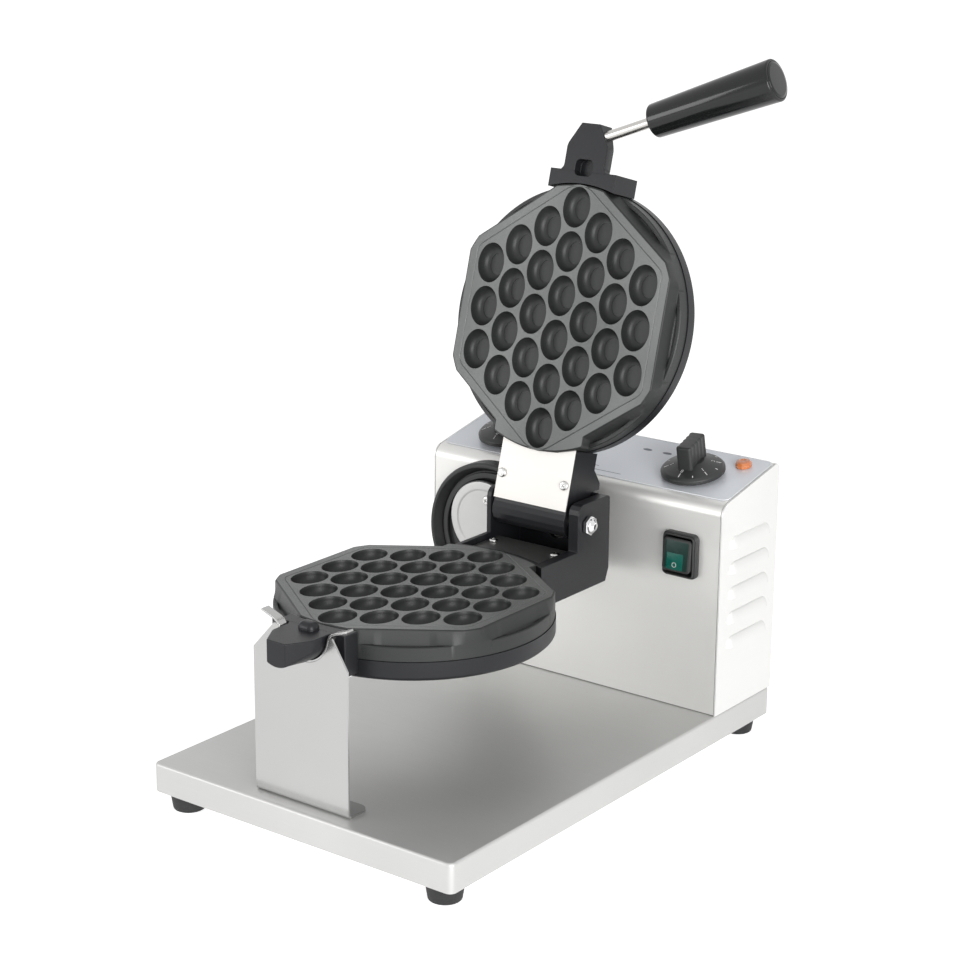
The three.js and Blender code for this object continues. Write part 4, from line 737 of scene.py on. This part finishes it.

# Dark strips under the wrap and along its edges: a painted shadow in the gaps of the seams
SEAM_INSET, SEAM_SHEET, SEAM_HALF = 0.9, 0.6, 0.5
seam_section = sheet_section(box_path(SEAM_INSET, TRAY_TOP, 0.8, 1.05), SEAM_SHEET)
painted_shadow_seam = Shape()
for middle in (-WRAP_HALF, WRAP_HALF):
    painted_shadow_seam.prism(seam_section, middle - SEAM_HALF, middle + SEAM_HALF, SIDEWAYS)
for y in (BOX_FRONT + SEAM_INSET, BOX_BACK - SEAM_INSET):
    foot_line = rectangle(WRAP_HALF - SEAM_HALF, SEAM_SHEET / 2)
    painted_shadow_seam.prism(foot_line, TRAY_TOP, TRAY_TOP + 1, moved(0, y, 0))
piece("painted_shadow_seam", painted_shadow_seam, WORLD, "base", "rubber")


# Side panels with pressed louvres: each is a quarter-round hood over a mouth
LOUVRE_COUNT, LOUVRE_FIRST, LOUVRE_PITCH = 5, 50.6, 19.5
LOUVRE_Y, LOUVRE_HALF = BOX_FRONT + 40.325, 28
HOOD_BULGE, HOOD_RISE, HOOD_SHEET, HOOD_END = 3.4, 8.5, 0.9, 0.8
HOOD_STEPS = 40


def hood_rows(inset):
    """Quarter ellipses along Y that shrink at both ends."""
    bulge, rise, half = HOOD_BULGE - inset, HOOD_RISE - inset, LOUVRE_HALF - inset
    turns = range(0, 91, 9)
    rows = []
    for step in range(HOOD_STEPS + 1):
        along = -half + 2 * half * step / HOOD_STEPS
        over = max(0, abs(along) - (half - rise * HOOD_END)) / HOOD_END
        size = math.sqrt(max(0, 1 - (over / rise) ** 2))
        rows.append([(bulge * size * cosine(turn), along, rise * size * sine(turn)) for turn in turns])
    return rows


# Each section is the outer skin and back along the inner one
hood = [outer + inner[::-1] for outer, inner in zip(hood_rows(0), hood_rows(HOOD_SHEET))]
panel_outline = rounded([
    (BOX_FRONT, TRAY_TOP), (BOX_BACK, TRAY_TOP), (BOX_BACK, BOX_BACK_TOP, BACK_BEND),
    (BOX_FRONT, BOX_FRONT_TOP, FRONT_BEND),
], steps=12)
mouth_outline = [
    (2 - LOUVRE_HALF, 0.5), (LOUVRE_HALF - 2, 0.5), (LOUVRE_HALF - 4, 5), (4 - LOUVRE_HALF, 5),
]
for name, side in (("right", 1), ("left", -1)):
    mirror = WORLD @ Matrix.Diagonal((side, 1, 1, 1))
    panel = Shape().prism(panel_outline, BOX_HALF - SHEET, BOX_HALF, SIDEWAYS)
    mouths = []
    hoods = Shape()
    for index in range(LOUVRE_COUNT):
        height = TRAY_TOP + LOUVRE_FIRST + LOUVRE_PITCH * index
        mouths.append(Shape().prism(mouth_outline, 132, 135, moved(0, LOUVRE_Y, height) @ SIDEWAYS))
        hoods.loft(hood, moved(BOX_HALF - 0.1, LOUVRE_Y, height), caps=False)
    piece(f"panel_{name}", panel, mirror, "base", "polished_steel", [f"side_panel_{name}"],
          finishes=["side_steel"], smooth=30, cutters=mouths)
    piece(f"hoods_{name}", hoods, mirror, "base", "polished_steel", finishes=["side_steel"], smooth=50)


# Label with its faint print, and a raised edge line painted lighter as a painted highlight
LABEL_X, LABEL_Y, LABEL_CORNER = 132, 34.5, 6
LABEL_LOW, LABEL_TOP, BORDER_TOP, BORDER_WIDTH, PRINT_TOP = 0.3, 0.7, 0.85, 1.1, 0.76
LABEL_SPOTS = ((30, 60), (48, 60))
SPOT_X, SPOT_Y = 4, 1.6
LABEL_LINES = ((-34, 34, 16), (-30, 10, 22))
LINE_HALF = 0.25
label_at = moved(0, 44, 0)
label = Shape().prism(rectangle(LABEL_X, LABEL_Y, LABEL_CORNER, 8), LABEL_LOW, LABEL_TOP, label_at)
piece("label", label, SLOPE, "base", "label_film", ["control_label"], cutters=control_holes(-1, 2))
border = Shape().stack(inset_levels(LABEL_X, LABEL_Y, LABEL_CORNER, (
    (0, LABEL_TOP), (0, BORDER_TOP), (BORDER_WIDTH, BORDER_TOP), (BORDER_WIDTH, LABEL_TOP),
), 8), label_at, closed=True)
piece("label_border", border, SLOPE, "base", "label_film", finishes=["label_edge_painted_highlight"])
marks = Shape()
for x, along in LABEL_SPOTS:
    spot = [(x + SPOT_X * cosine(turn), along + SPOT_Y * sine(turn)) for turn in range(0, 360, 12)]
    marks.prism(spot, LABEL_TOP, PRINT_TOP)
for low, high, along in LABEL_LINES:
    line = rectangle((high - low) / 2, LINE_HALF)
    marks.prism(line, LABEL_TOP, PRINT_TOP, moved((low + high) / 2, along, 0))
piece("label_marks", marks, SLOPE, "base", "label_film", finishes=["grey_print"])


# Knobs: a sloping skirt with strokes and digits under a fluted bar
KNOB_LIFT, KNOB_TURN = 3.5, 8
CONE_RADIUS, CONE_FOOT, CONE_END, CONE_TOP = 22.4, 5, 9, 9.5
CONE_RISE = (CONE_TOP - CONE_FOOT) / (CONE_RADIUS - CONE_END)
KNOB_PROFILE = (
    (0, -16), (3, -16, 0.4), (3, 0), (24.4, 0, 0.6), (24.4, 3.2, 1.2), (CONE_RADIUS, CONE_FOOT, 1.2),
    (CONE_END, CONE_TOP, 1), (0, CONE_TOP),
)
BAR_X, BAR_Y, BAR_CORNER, BAR_LEAST_CORNER = 6.2, 14, 2.4, 0.3
BAR_START, BAR_TOP, BAR_ROUND = 4.5, 24.4, 1.6
FLUTE_REACH, FLUTE_PITCH, FLUTE_DEPTH, FLUTE_POWER, FLUTE_STEPS = 11.2, 5.6, 0.6, 0.4, 48
TICK_COUNT, TICK_START, TICK_DEGREES, TICK_HEIGHTS = 11, -96, 30, (0.02, 0.12)
LONG_TICK, SHORT_TICK, TICK_HALF, TICK_REACH = 1.9, 1.0, 0.28, 21.6
DIGIT_SIZE, DIGIT_REACH, DIGIT_LIFT = 4.2, 15.6, 0.1


def lettering(text, size):
    """Flat digits as points and faces."""
    curve = bpy.data.curves.new("digits", "FONT")
    curve.body = text
    curve.size = size
    curve.align_x = curve.align_y = "CENTER"
    made = link("digits", curve)
    graph = bpy.context.evaluated_depsgraph_get()
    mesh = bpy.data.meshes.new_from_object(made.evaluated_get(graph))
    points = [tuple(vertex.co) for vertex in mesh.vertices]
    faces = [list(face.vertices) for face in mesh.polygons]
    bpy.data.objects.remove(made)
    bpy.data.meshes.remove(mesh)
    bpy.data.curves.remove(curve)
    return points, faces


def bar_outline(inset):
    """A bar with four flutes down each long side."""
    half_x, half_y = BAR_X - inset, BAR_Y - inset
    corner = max(BAR_CORNER - inset, BAR_LEAST_CORNER)
    side = []
    for step in range(FLUTE_STEPS + 1):
        reach = 2 * FLUTE_REACH * step / FLUTE_STEPS
        flute = FLUTE_DEPTH * abs(math.sin(math.pi * reach / FLUTE_PITCH)) ** FLUTE_POWER
        side.append((half_x - flute, reach - FLUTE_REACH))
    end = arc(corner, 0, 90, 6, half_x - corner, half_y - corner)
    tail = [(x, -y) for x, y in end][::-1]
    right = tail + side + end
    return right + [(-x, -y) for x, y in right]


def on_cone(step, reach, lift):
    """A place on the skirt's cone at one of the strokes."""
    height = CONE_FOOT + lift + (CONE_RADIUS - reach) * CONE_RISE
    slant = turned(math.degrees(math.atan(CONE_RISE)), "Y")
    return turned(TICK_START + TICK_DEGREES * step, "Z") @ moved(reach, 0, height) @ slant


def dial_marks():
    """Strokes round the skirt, and a digit at every second one."""
    shape = Shape()
    for step in range(TICK_COUNT):
        length = SHORT_TICK if step % 2 else LONG_TICK
        shape.prism(rectangle(length, TICK_HALF), *TICK_HEIGHTS, on_cone(step, TICK_REACH - length, 0))
        if step % 2 == 0:
            digit_at = on_cone(step, DIGIT_REACH, DIGIT_LIFT) @ turned(90, "Z")
            shape.add(*lettering(str(step // 2), DIGIT_SIZE), digit_at)
    return shape


for name, side, body in (("timer", -1, "timer_dial"), ("heat", 1, "heat_dial")):
    at = SLOPE @ moved(side * KNOB_X, KNOB_ALONG, KNOB_LIFT) @ turned(KNOB_TURN, "Z")
    knob = Shape().lathe(KNOB_PROFILE, 128)
    levels = [(bar_outline(0), BAR_START), (bar_outline(0), BAR_TOP)]
    for turn in (22.5, 45, 67.5, 90):
        levels.append((bar_outline(BAR_ROUND * (1 - cosine(turn))), BAR_TOP + BAR_ROUND * sine(turn)))
    knob.stack(levels)
    piece(f"{name}_dial_knob", knob, at, body, "black_plastic", [f"{name}_knob"], smooth=40)
    piece(f"{name}_dial_marks", dial_marks(), at, body, "label_film", finishes=["white_print"])


# Lamp: a faceted lens
LENS_SIDES = 10
LENS_PROFILE = (
    (0, -16), (4.6, -16), (4.6, 0), (6.3, 0), (6.5, 2.4), (5.2, 4.2), (3, 4.8), (1.6, 4.2), (0, 4),
)
lamp_at = SLOPE @ moved(LAMP_X, LAMP_ALONG, 1.0)
piece("lamp_lens", Shape().lathe(LENS_PROFILE, LENS_SIDES), lamp_at, "base", "amber_lens",
      ["indicator_lamp"], smooth=12, edge=0.15)


# Switch: a moulded bezel round a rocker whose lower end stands out
SWITCH_SHIFT, ROCKER_SETBACK, ROCKER_DEGREES = 1.3, 1.4, -6
BEZEL_BODY, BEZEL_BODY_ENDS = (12.6, 15.6, 1), ((0, -20), (0, 0.3))
BEZEL_RIM = (14.8, 17.2, 4.5)
BEZEL_SECTION = (
    (0, 0.3), (0, 3.4), (0.3, 4.2), (0.9, 4.6), (1.1, 4.4), (1.2, 4.2), (1.3, 4.4), (1.4, 6),
    (1.7, 6.5), (2.2, 6.5), (2.4, 6), (2.4, 2.2), (2.4, -12),
)
ROCKER_LEVELS = (
    (10.6, 11.2, 1.6, -6), (11.5, 11.8, 2.2, 2), (12.2, 12.7, 3.2, 5.4), (12, 12.5, 3.1, 6.4),
    (10.9, 11.8, 2.4, 7),
)
WINDOW, WINDOW_RISE = (10, 11, 1.6), ((0, 5), (0, 7.1), (0.4, 7.2))
LENS, LENS_RISE, LENS_SHIFT = (7.2, 6.2, 0.8), ((0, 6), (0, 7.3), (0.3, 7.4)), (-1, -4.8, 0)
MARK_PROFILE, MARK_SHIFT = ((1.55, 7.4), (1.85, 7.4), (1.85, 7.5), (1.55, 7.5)), (-1, -7.4, 0)

bezel = Shape().stack(inset_levels(*BEZEL_BODY, BEZEL_BODY_ENDS) + inset_levels(*BEZEL_RIM, BEZEL_SECTION))
bezel_at = WORLD @ moved(SWITCH_X + SWITCH_SHIFT, BOX_FRONT, SWITCH_Z) @ OUTWARD
piece("switch_bezel", bezel, bezel_at, "base", "black_plastic", ["switch_frame"])

rocker_place = moved(SWITCH_X + SWITCH_SHIFT, BOX_FRONT - ROCKER_SETBACK, SWITCH_Z)
rocker_at = WORLD @ rocker_place @ turned(ROCKER_DEGREES, "X") @ OUTWARD
rocker = Shape().stack(sized_levels(ROCKER_LEVELS))
piece("rocker_body", rocker, rocker_at, "rocker", "black_plastic", ["switch_rocker"], edge=0.2)
# The window's darker lens is painted shade over the green rocker's upper part; only the lower lens shows the
# green.
window = Shape().stack(inset_levels(*WINDOW, WINDOW_RISE))
window.stack(inset_levels(*LENS, LENS_RISE), moved(*LENS_SHIFT), finish=1)
piece("rocker_lens", window, rocker_at, "rocker", "green_lens", finishes=["painted_shade_lens", "green_lens"])
mark = Shape().lathe(MARK_PROFILE, 40, moved(*MARK_SHIFT), closed=True)
piece("rocker_mark", mark, rocker_at, "rocker", "label_film", finishes=["white_print"])


# Round housing with its off-centre cover; heights run from its front face to the box
PORT_PROFILE = (
    (0, 9.4), (44.6, 9.4, 0.4), (44.6, 5.8, 0.6), (49, 5.8, 0.5), (49, 8.4), (50.3, 8.4, 0.3), (54.6, 0, 0.9),
    (56.8, 0, 1), (58, 1.6, 1), (58, 12.2), (0, 12.2),
)
NOTCH_RADIUS = 31.2
PLINTH_PROFILE = ((0, 9), (32, 9), (32, 4.5, 0.4), (0, 4.5))
COVER_PROFILE = ((0, 4.2), (31.4, 4.2), (31.4, 2.7, 0.9), (25.5, 2.7, 1), (24, 3.3, 1), (0, 3.3))
port = Shape().lathe(PORT_PROFILE, 160, moved(PORT_X, PORT_Y, PORT_Z) @ TO_Y, steps=5)
notch = disc(NOTCH_RADIUS, -1, 14, 96, moved(0, PORT_Y, PARTING_Z) @ TO_Y)
piece("port_body", port, WORLD, "base", "black_plastic", ["port_ring"], cutters=[notch])
cover_at = moved(COVER_X, PORT_Y, COVER_Z) @ TO_Y
piece("port_plinth", Shape().lathe(PLINTH_PROFILE, 128, cover_at), WORLD, "base", "black_plastic")
cover = Shape().lathe(COVER_PROFILE, 128, cover_at, steps=5)
piece("port_cover", cover, WORLD, "base", "polished_steel", ["port_lid"], finishes=["tray_steel"])


# Turning shaft and bearing, with heights along the turning axis
SHAFT_PROFILE = ((9, 176), (22, 176, 0.5), (22, 180, 0.6), (14, 180, 0.5), (14, 216, 0.6), (9, 216))
BEARING_PROFILE = (
    (14.4, 186.2), (30, 186.2, 1), (30, 191.2), (18, 191.2), (18, 204.5, 0.5), (14.4, 204.5),
)
for name, profile, body, node in (
    ("shaft", SHAFT_PROFILE, "head", "turning_shaft"), ("bearing", BEARING_PROFILE, "base", "bearing_flange"),
):
    sleeve = Shape().lathe(profile, 96, closed=True)
    piece(name, sleeve, LOWER @ TO_Y, body, "brushed_steel", [node], finishes=["tray_steel"])


# Hinge shaft with its cap nuts
PIN_RADIUS, PIN_LEFT, PIN_RIGHT = 6, -38, 46
NUT_GAP, NUT_LEVELS = 0.3, ((6.9, 0), (7.6, 0.5), (7.6, 3.0), (6.9, 3.5))
NUT_CAP = ((0, 0.6), (5.8, 0.6), (5.8, 4.6, 2.2), (2.6, 6.9, 2.4), (0, 7))


def hexagon_stack(levels):
    """Hexagons with their corners at a radius, from (radius, height)."""
    return Shape().stack([(arc(radius, 0, 300, 5), z) for radius, z in levels])


piece("hinge_pin", disc(PIN_RADIUS, PIN_LEFT, PIN_RIGHT, 64), HINGE @ TO_X, "head", "chrome",
      ["hinge_shaft"])
for name, place in (
    ("right", moved(PIN_RIGHT + NUT_GAP, 0, 0) @ TO_X),
    ("left", moved(PIN_LEFT - NUT_GAP, 0, 0) @ turned(-90, "Y")),
):
    nut = hexagon_stack(NUT_LEVELS)
    nut.lathe(NUT_CAP, steps=6)
    piece(f"hinge_nut_{name}", nut, HINGE @ place, "head", "chrome", [f"hinge_cap_{name}"], smooth=40)


# Pan-head screws with crossed recesses
SHANK_RADIUS = 1.5
SCREW_HEAD = ((3.6, 0, 0.15), (3.6, 0.7, 0.4), (2.9, 1.5, 1), (0, 1.9))
RECESS_HALF, RECESS_REACH, RECESS_FLOOR = 0.4, 1.9, 0.7
ARM_SCREW_X, ARM_SCREW_Y, ARM_SCREW_Z = 28.4, 121, 3.7
YOKE_SCREW_Y, YOKE_SCREW_Z = 130, -5.6
STAND_MIDDLE, STAND_SCREW_X, STAND_SCREW_Y = -3.5, 28, -177.25
COVER_SCREW_REACH, COVER_SCREW_DEGREES, COVER_SCREW_DEPTH = 17.7, 12.4, 2.85


def screw(name, place, body, node, shank, twist):
    """A screw at the foot of its head; twist turns the recess."""
    head = Shape().lathe([(0, -shank), (SHANK_RADIUS, -shank), (SHANK_RADIUS, 0), *SCREW_HEAD], 48)
    cross = [(RECESS_HALF, RECESS_HALF), (RECESS_HALF, RECESS_REACH), (-RECESS_HALF, RECESS_REACH)]
    for _ in range(9):
        x, y = cross[-3]
        cross.append((-y, x))
    recess = Shape().prism(cross, RECESS_FLOOR, 3, turned(twist, "Z"))
    piece(name, head, place, body, "screw_steel", [node], cutters=[recess])


for index, side in enumerate((-1, 1)):
    number = index + 1
    place = UPPER @ moved(side * ARM_SCREW_X, ARM_SCREW_Y, ARM_SCREW_Z) @ turned(180, "X")
    screw(f"arm_screw_{number}", place, "lid", f"upper_cover_screw_{number}", 8, 20 + 31 * index)
    place = LOWER @ moved(side * ARM_SCREW_X, YOKE_SCREW_Y, YOKE_SCREW_Z)
    screw(f"yoke_screw_{number}", place, "head", f"lower_cover_screw_{number}", 8, 48 + 23 * index)
    place = WORLD @ moved(side * STAND_SCREW_X + STAND_MIDDLE, STAND_SCREW_Y, TRAY_TOP + THICK_SHEET)
    screw(f"bracket_screw_{number}", place, "base", f"stand_screw_{number}", THICK_SHEET, 10 + 35 * index)
    across = side * COVER_SCREW_REACH * sine(COVER_SCREW_DEGREES)
    above = side * COVER_SCREW_REACH * cosine(COVER_SCREW_DEGREES)
    place = WORLD @ moved(COVER_X + across, PORT_Y + COVER_SCREW_DEPTH, COVER_Z + above) @ OUTWARD
    screw(f"cover_screw_{number}", place, "base", f"port_screw_{number}", 6, 15 + 50 * index)


# Cord gland: a hexagon, and a cap with ribs round it
GLAND_NUT = ((10.3, 0), (11, 0.6), (11, 4.4), (10.3, 5))
GLAND_PROFILE = ((3.6, -12), (8, -12, 0.4), (8, 0.4), (9, 0.4), (9, 10, 1.2), (6, 15, 0.8), (3.6, 15))
GLAND_RIBS, RIB_HALF, RIB_LENGTH, RIB_HEIGHT = 12, 0.5, 3.2, 0.5
gland = hexagon_stack(GLAND_NUT)
gland.lathe(GLAND_PROFILE, closed=True)
for step in range(GLAND_RIBS):
    rib_at = turned(360 / GLAND_RIBS * step, "Z") @ moved(8.9, 0, 7.4) @ TO_X @ turned(90, "Z")
    gland.prism(rectangle(RIB_HALF, RIB_LENGTH), 0, RIB_HEIGHT, rib_at)
piece("gland", gland, WORLD @ moved(GLAND_X, BOX_BACK + 0.3, GLAND_Z) @ TO_Y, "base", "black_plastic",
      ["cord_gland"], smooth=40)


# Cradle strip: a half ring whose ends curl over into straight lips
STAND_FACE, CRADLE_BACK = 189.25, 181.85
CRADLE_RADIUS, CRADLE_FLARE = 21.55, 10
CURL_RADIUS, LIP_LENGTH, LIP_RISE = 8, 12, 20
curl_reach = CRADLE_RADIUS + CURL_RADIUS
curl = arc(CURL_RADIUS, 170, 110, 12, curl_reach * cosine(CRADLE_FLARE), -curl_reach * sine(CRADLE_FLARE))
lip_end = (curl[-1][0] + LIP_LENGTH * cosine(LIP_RISE), curl[-1][1] + LIP_LENGTH * sine(LIP_RISE))
right_side = curl[1:] + [lip_end]
left_side = [(-x, z) for x, z in right_side][::-1]
strip_path = left_side + arc(CRADLE_RADIUS, 190, 350, 40) + right_side
strip = Shape().prism(sheet_section(strip_path, THICK_SHEET), CRADLE_BACK, STAND_FACE)
piece("cradle", strip, WORLD @ moved(0, 0, PARTING_Z) @ OUTWARD, "base", "polished_steel", ["cradle_strip"],
      finishes=["bright_steel"], edge=0.35, smooth=30)


# Front stand, one sheet bent to a foot, with a round notch and sloping shoulders
STAND_LEFT, STAND_RIGHT, STAND_TOP = -45.2, 38.2, PARTING_Z - 0.9
SHOULDER_LEFT, SHOULDER_RIGHT, SHOULDER_Z = -26.6, 24.9, PARTING_Z - 21.4
STAND_BEND, STAND_NOTCH = 3, 22.4
STAND_FOOT_DEPTH, STAND_FOOT_CORNER, STAND_FOOT_CUT = 22.6, 8, 10
OUT, IN = 1.1, 0.7
bend_y, bend_z = -STAND_FACE + STAND_BEND, TRAY_TOP + STAND_BEND
centre_z = TRAY_TOP + THICK_SHEET / 2
stand_path = [(-STAND_FACE + THICK_SHEET / 2, STAND_TOP)]
stand_path += arc(STAND_BEND - THICK_SHEET / 2, 180, 270, 8, bend_y, bend_z)
foot_end = -STAND_FACE + STAND_FOOT_DEPTH
foot_path = [(bend_y, centre_z), (foot_end, centre_z)]
stand = Shape().prism(sheet_section(stand_path, THICK_SHEET), STAND_LEFT, STAND_RIGHT, SIDEWAYS)
stand_foot = Shape().prism(sheet_section(foot_path, THICK_SHEET), STAND_LEFT, STAND_RIGHT, SIDEWAYS)
stand_cuts = [disc(STAND_NOTCH, -190, -187, 96, moved(0, 0, PARTING_Z) @ TO_Y)]
foot_cuts = []
for wide, top in ((STAND_LEFT, SHOULDER_LEFT), (STAND_RIGHT, SHOULDER_RIGHT)):
    above = PARTING_Z + 5
    shoulder = [
        (wide * OUT, SHOULDER_Z + 2), (wide, SHOULDER_Z), (top, STAND_TOP), (top, above), (wide * OUT, above),
    ]
    stand_cuts.append(Shape().prism(shoulder, 187, 190, OUTWARD))
    cut_start, beyond = -STAND_FACE + STAND_FOOT_CUT, foot_end + 2.4
    corner = rounded([
        (wide, cut_start), (wide, foot_end, STAND_FOOT_CORNER), (wide * IN, foot_end),
        (wide * IN, beyond), (wide * OUT, beyond), (wide * OUT, cut_start),
    ])
    foot_cuts.append(Shape().prism(corner, TRAY_TOP - 1, TRAY_TOP + 3))
piece("stand", stand, WORLD, "base", "polished_steel", ["front_stand"], finishes=["bright_steel"], smooth=30,
      cutters=stand_cuts)
# The foot is the same sheet as the stand; its darker steel is painted shade.
piece("stand_foot", stand_foot, WORLD, "base", "polished_steel", finishes=["painted_shade_steel"], smooth=30,
      cutters=foot_cuts)


# CAD nodes that stay: their finish, and the width of their softened edges
KEPT = {
    "bottom_plate": ("tray_steel", 0), "timer_body": ("black_plastic", 0.5),
    "thermostat_body": ("ceramic", 0.5), "terminal_block": ("ceramic", 0.4),
    "shaft_collar": ("tray_steel", 0.4),
    # The lower cover plate's darker steel is painted shade.
    "yoke": ("black_paint", 0.9), "lower_cover_plate": ("painted_shade_steel", 0.25),
    "lower_heating_element": ("element_steel", 0), "upper_arm": ("black_paint", 0.9),
    "upper_cover_plate": ("cover_steel", 0.25), "upper_heating_element": ("element_steel", 0),
}
WELD_DISTANCE = 1e-5
for name, (finish, edge) in KEPT.items():
    node = nodes[name]
    node.data.materials.clear()
    node.data.materials.append(materials[finish])
    if edge:
        weld = node.modifiers.new("weld", "WELD")
        weld.merge_threshold = WELD_DISTANCE
        soften(node, edge)


bpy.context.scene.view_settings.view_transform = "Standard"


# Camera at the photograph's place
CAMERA_PLACE = (962.9, -1264.55, 673.9)
CAMERA_AZIMUTH, CAMERA_ELEVATION, CAMERA_ROLL = 37.12, 16.23, 0.45
FOCAL_PIXELS = 2301.5
PRINCIPAL = (483.3, 476.8)
CLIP_END = 20
camera_data = bpy.data.cameras.new("camera")
camera = link("camera", camera_data)
bpy.context.scene.camera = camera
camera_data.lens = FOCAL_PIXELS * camera_data.sensor_width / PHOTO_SIZE
camera_data.shift_x = (PHOTO_SIZE / 2 - PRINCIPAL[0]) / PHOTO_SIZE
camera_data.shift_y = (PRINCIPAL[1] - PHOTO_SIZE / 2) / PHOTO_SIZE
camera_data.clip_end = CLIP_END
level = cosine(CAMERA_ELEVATION)
ahead = Vector((-sine(CAMERA_AZIMUTH) * level, cosine(CAMERA_AZIMUTH) * level, -sine(CAMERA_ELEVATION)))
roll = Euler((0, 0, math.radians(CAMERA_ROLL))).to_quaternion()
camera.location = Vector(CAMERA_PLACE) * MM
camera.rotation_mode = "QUATERNION"
camera.rotation_quaternion = ahead.to_track_quat("-Z", "Y") @ roll


# White floor that keeps the object's shadow, white background and soft lamps, in metres and watts
WHITE = (1, 1, 1, 1)
FLOOR_COLOUR = (0.9, 0.9, 0.9, 1)
FLOOR_GLOW = 0.74
FLOOR_REACH = 8
FLOOR_Z = -14.1 * MM
WORLD_LIGHT = 0.43
LAMPS = (
    ("key", (-1.5, -1.95, 0.66), (-0.05, 0, 0.25), (1.2, 0.8), 13),
    ("fill", (2.1, -1.4, 0.6), (0, 0, 0.2), (1.6, 1.4), 56),
)


def seen_or_lit(tree, lit, seen):
    """One strength for rays from the camera and for mirror rays, another for those that light the object."""
    path = tree.nodes.new("ShaderNodeLightPath")
    either = tree.nodes.new("ShaderNodeMath")
    either.operation = "MAXIMUM"
    tree.links.new(path.outputs["Is Camera Ray"], either.inputs[0])
    tree.links.new(path.outputs["Is Glossy Ray"], either.inputs[1])
    return ranged(tree, either.outputs["Value"], lit, seen, 0, 1)


floor_material, floor_tree, floor_shader = new_material("floor")
floor_shader.inputs["Base Color"].default_value = FLOOR_COLOUR
floor_shader.inputs["Roughness"].default_value = 1
floor_shader.inputs["Specular IOR Level"].default_value = 0
floor_shader.inputs["Emission Color"].default_value = WHITE
floor_tree.links.new(seen_or_lit(floor_tree, 0, FLOOR_GLOW), floor_shader.inputs["Emission Strength"])
floor_mesh = bpy.data.meshes.new("floor")
floor_mesh.from_pydata([(x, y, 0) for x, y in rectangle(FLOOR_REACH, FLOOR_REACH)], [], [(0, 1, 2, 3)])
floor_mesh.materials.append(floor_material)
floor = link("floor", floor_mesh)
floor.location.z = FLOOR_Z

world = bpy.data.worlds.new("studio")
bpy.context.scene.world = world
world.use_nodes = True
background = world.node_tree.nodes["Background"]
background.inputs["Color"].default_value = WHITE
world.node_tree.links.new(seen_or_lit(world.node_tree, WORLD_LIGHT, 1), background.inputs["Strength"])

for name, place, target, size, power in LAMPS:
    data = bpy.data.lights.new(name, "AREA")
    data.shape = "RECTANGLE"
    data.size, data.size_y = size
    data.energy = power
    lamp = link(name, data)
    lamp.location = place
    lamp.rotation_mode = "QUATERNION"
    lamp.rotation_quaternion = (Vector(target) - Vector(place)).to_track_quat("-Z", "Y")
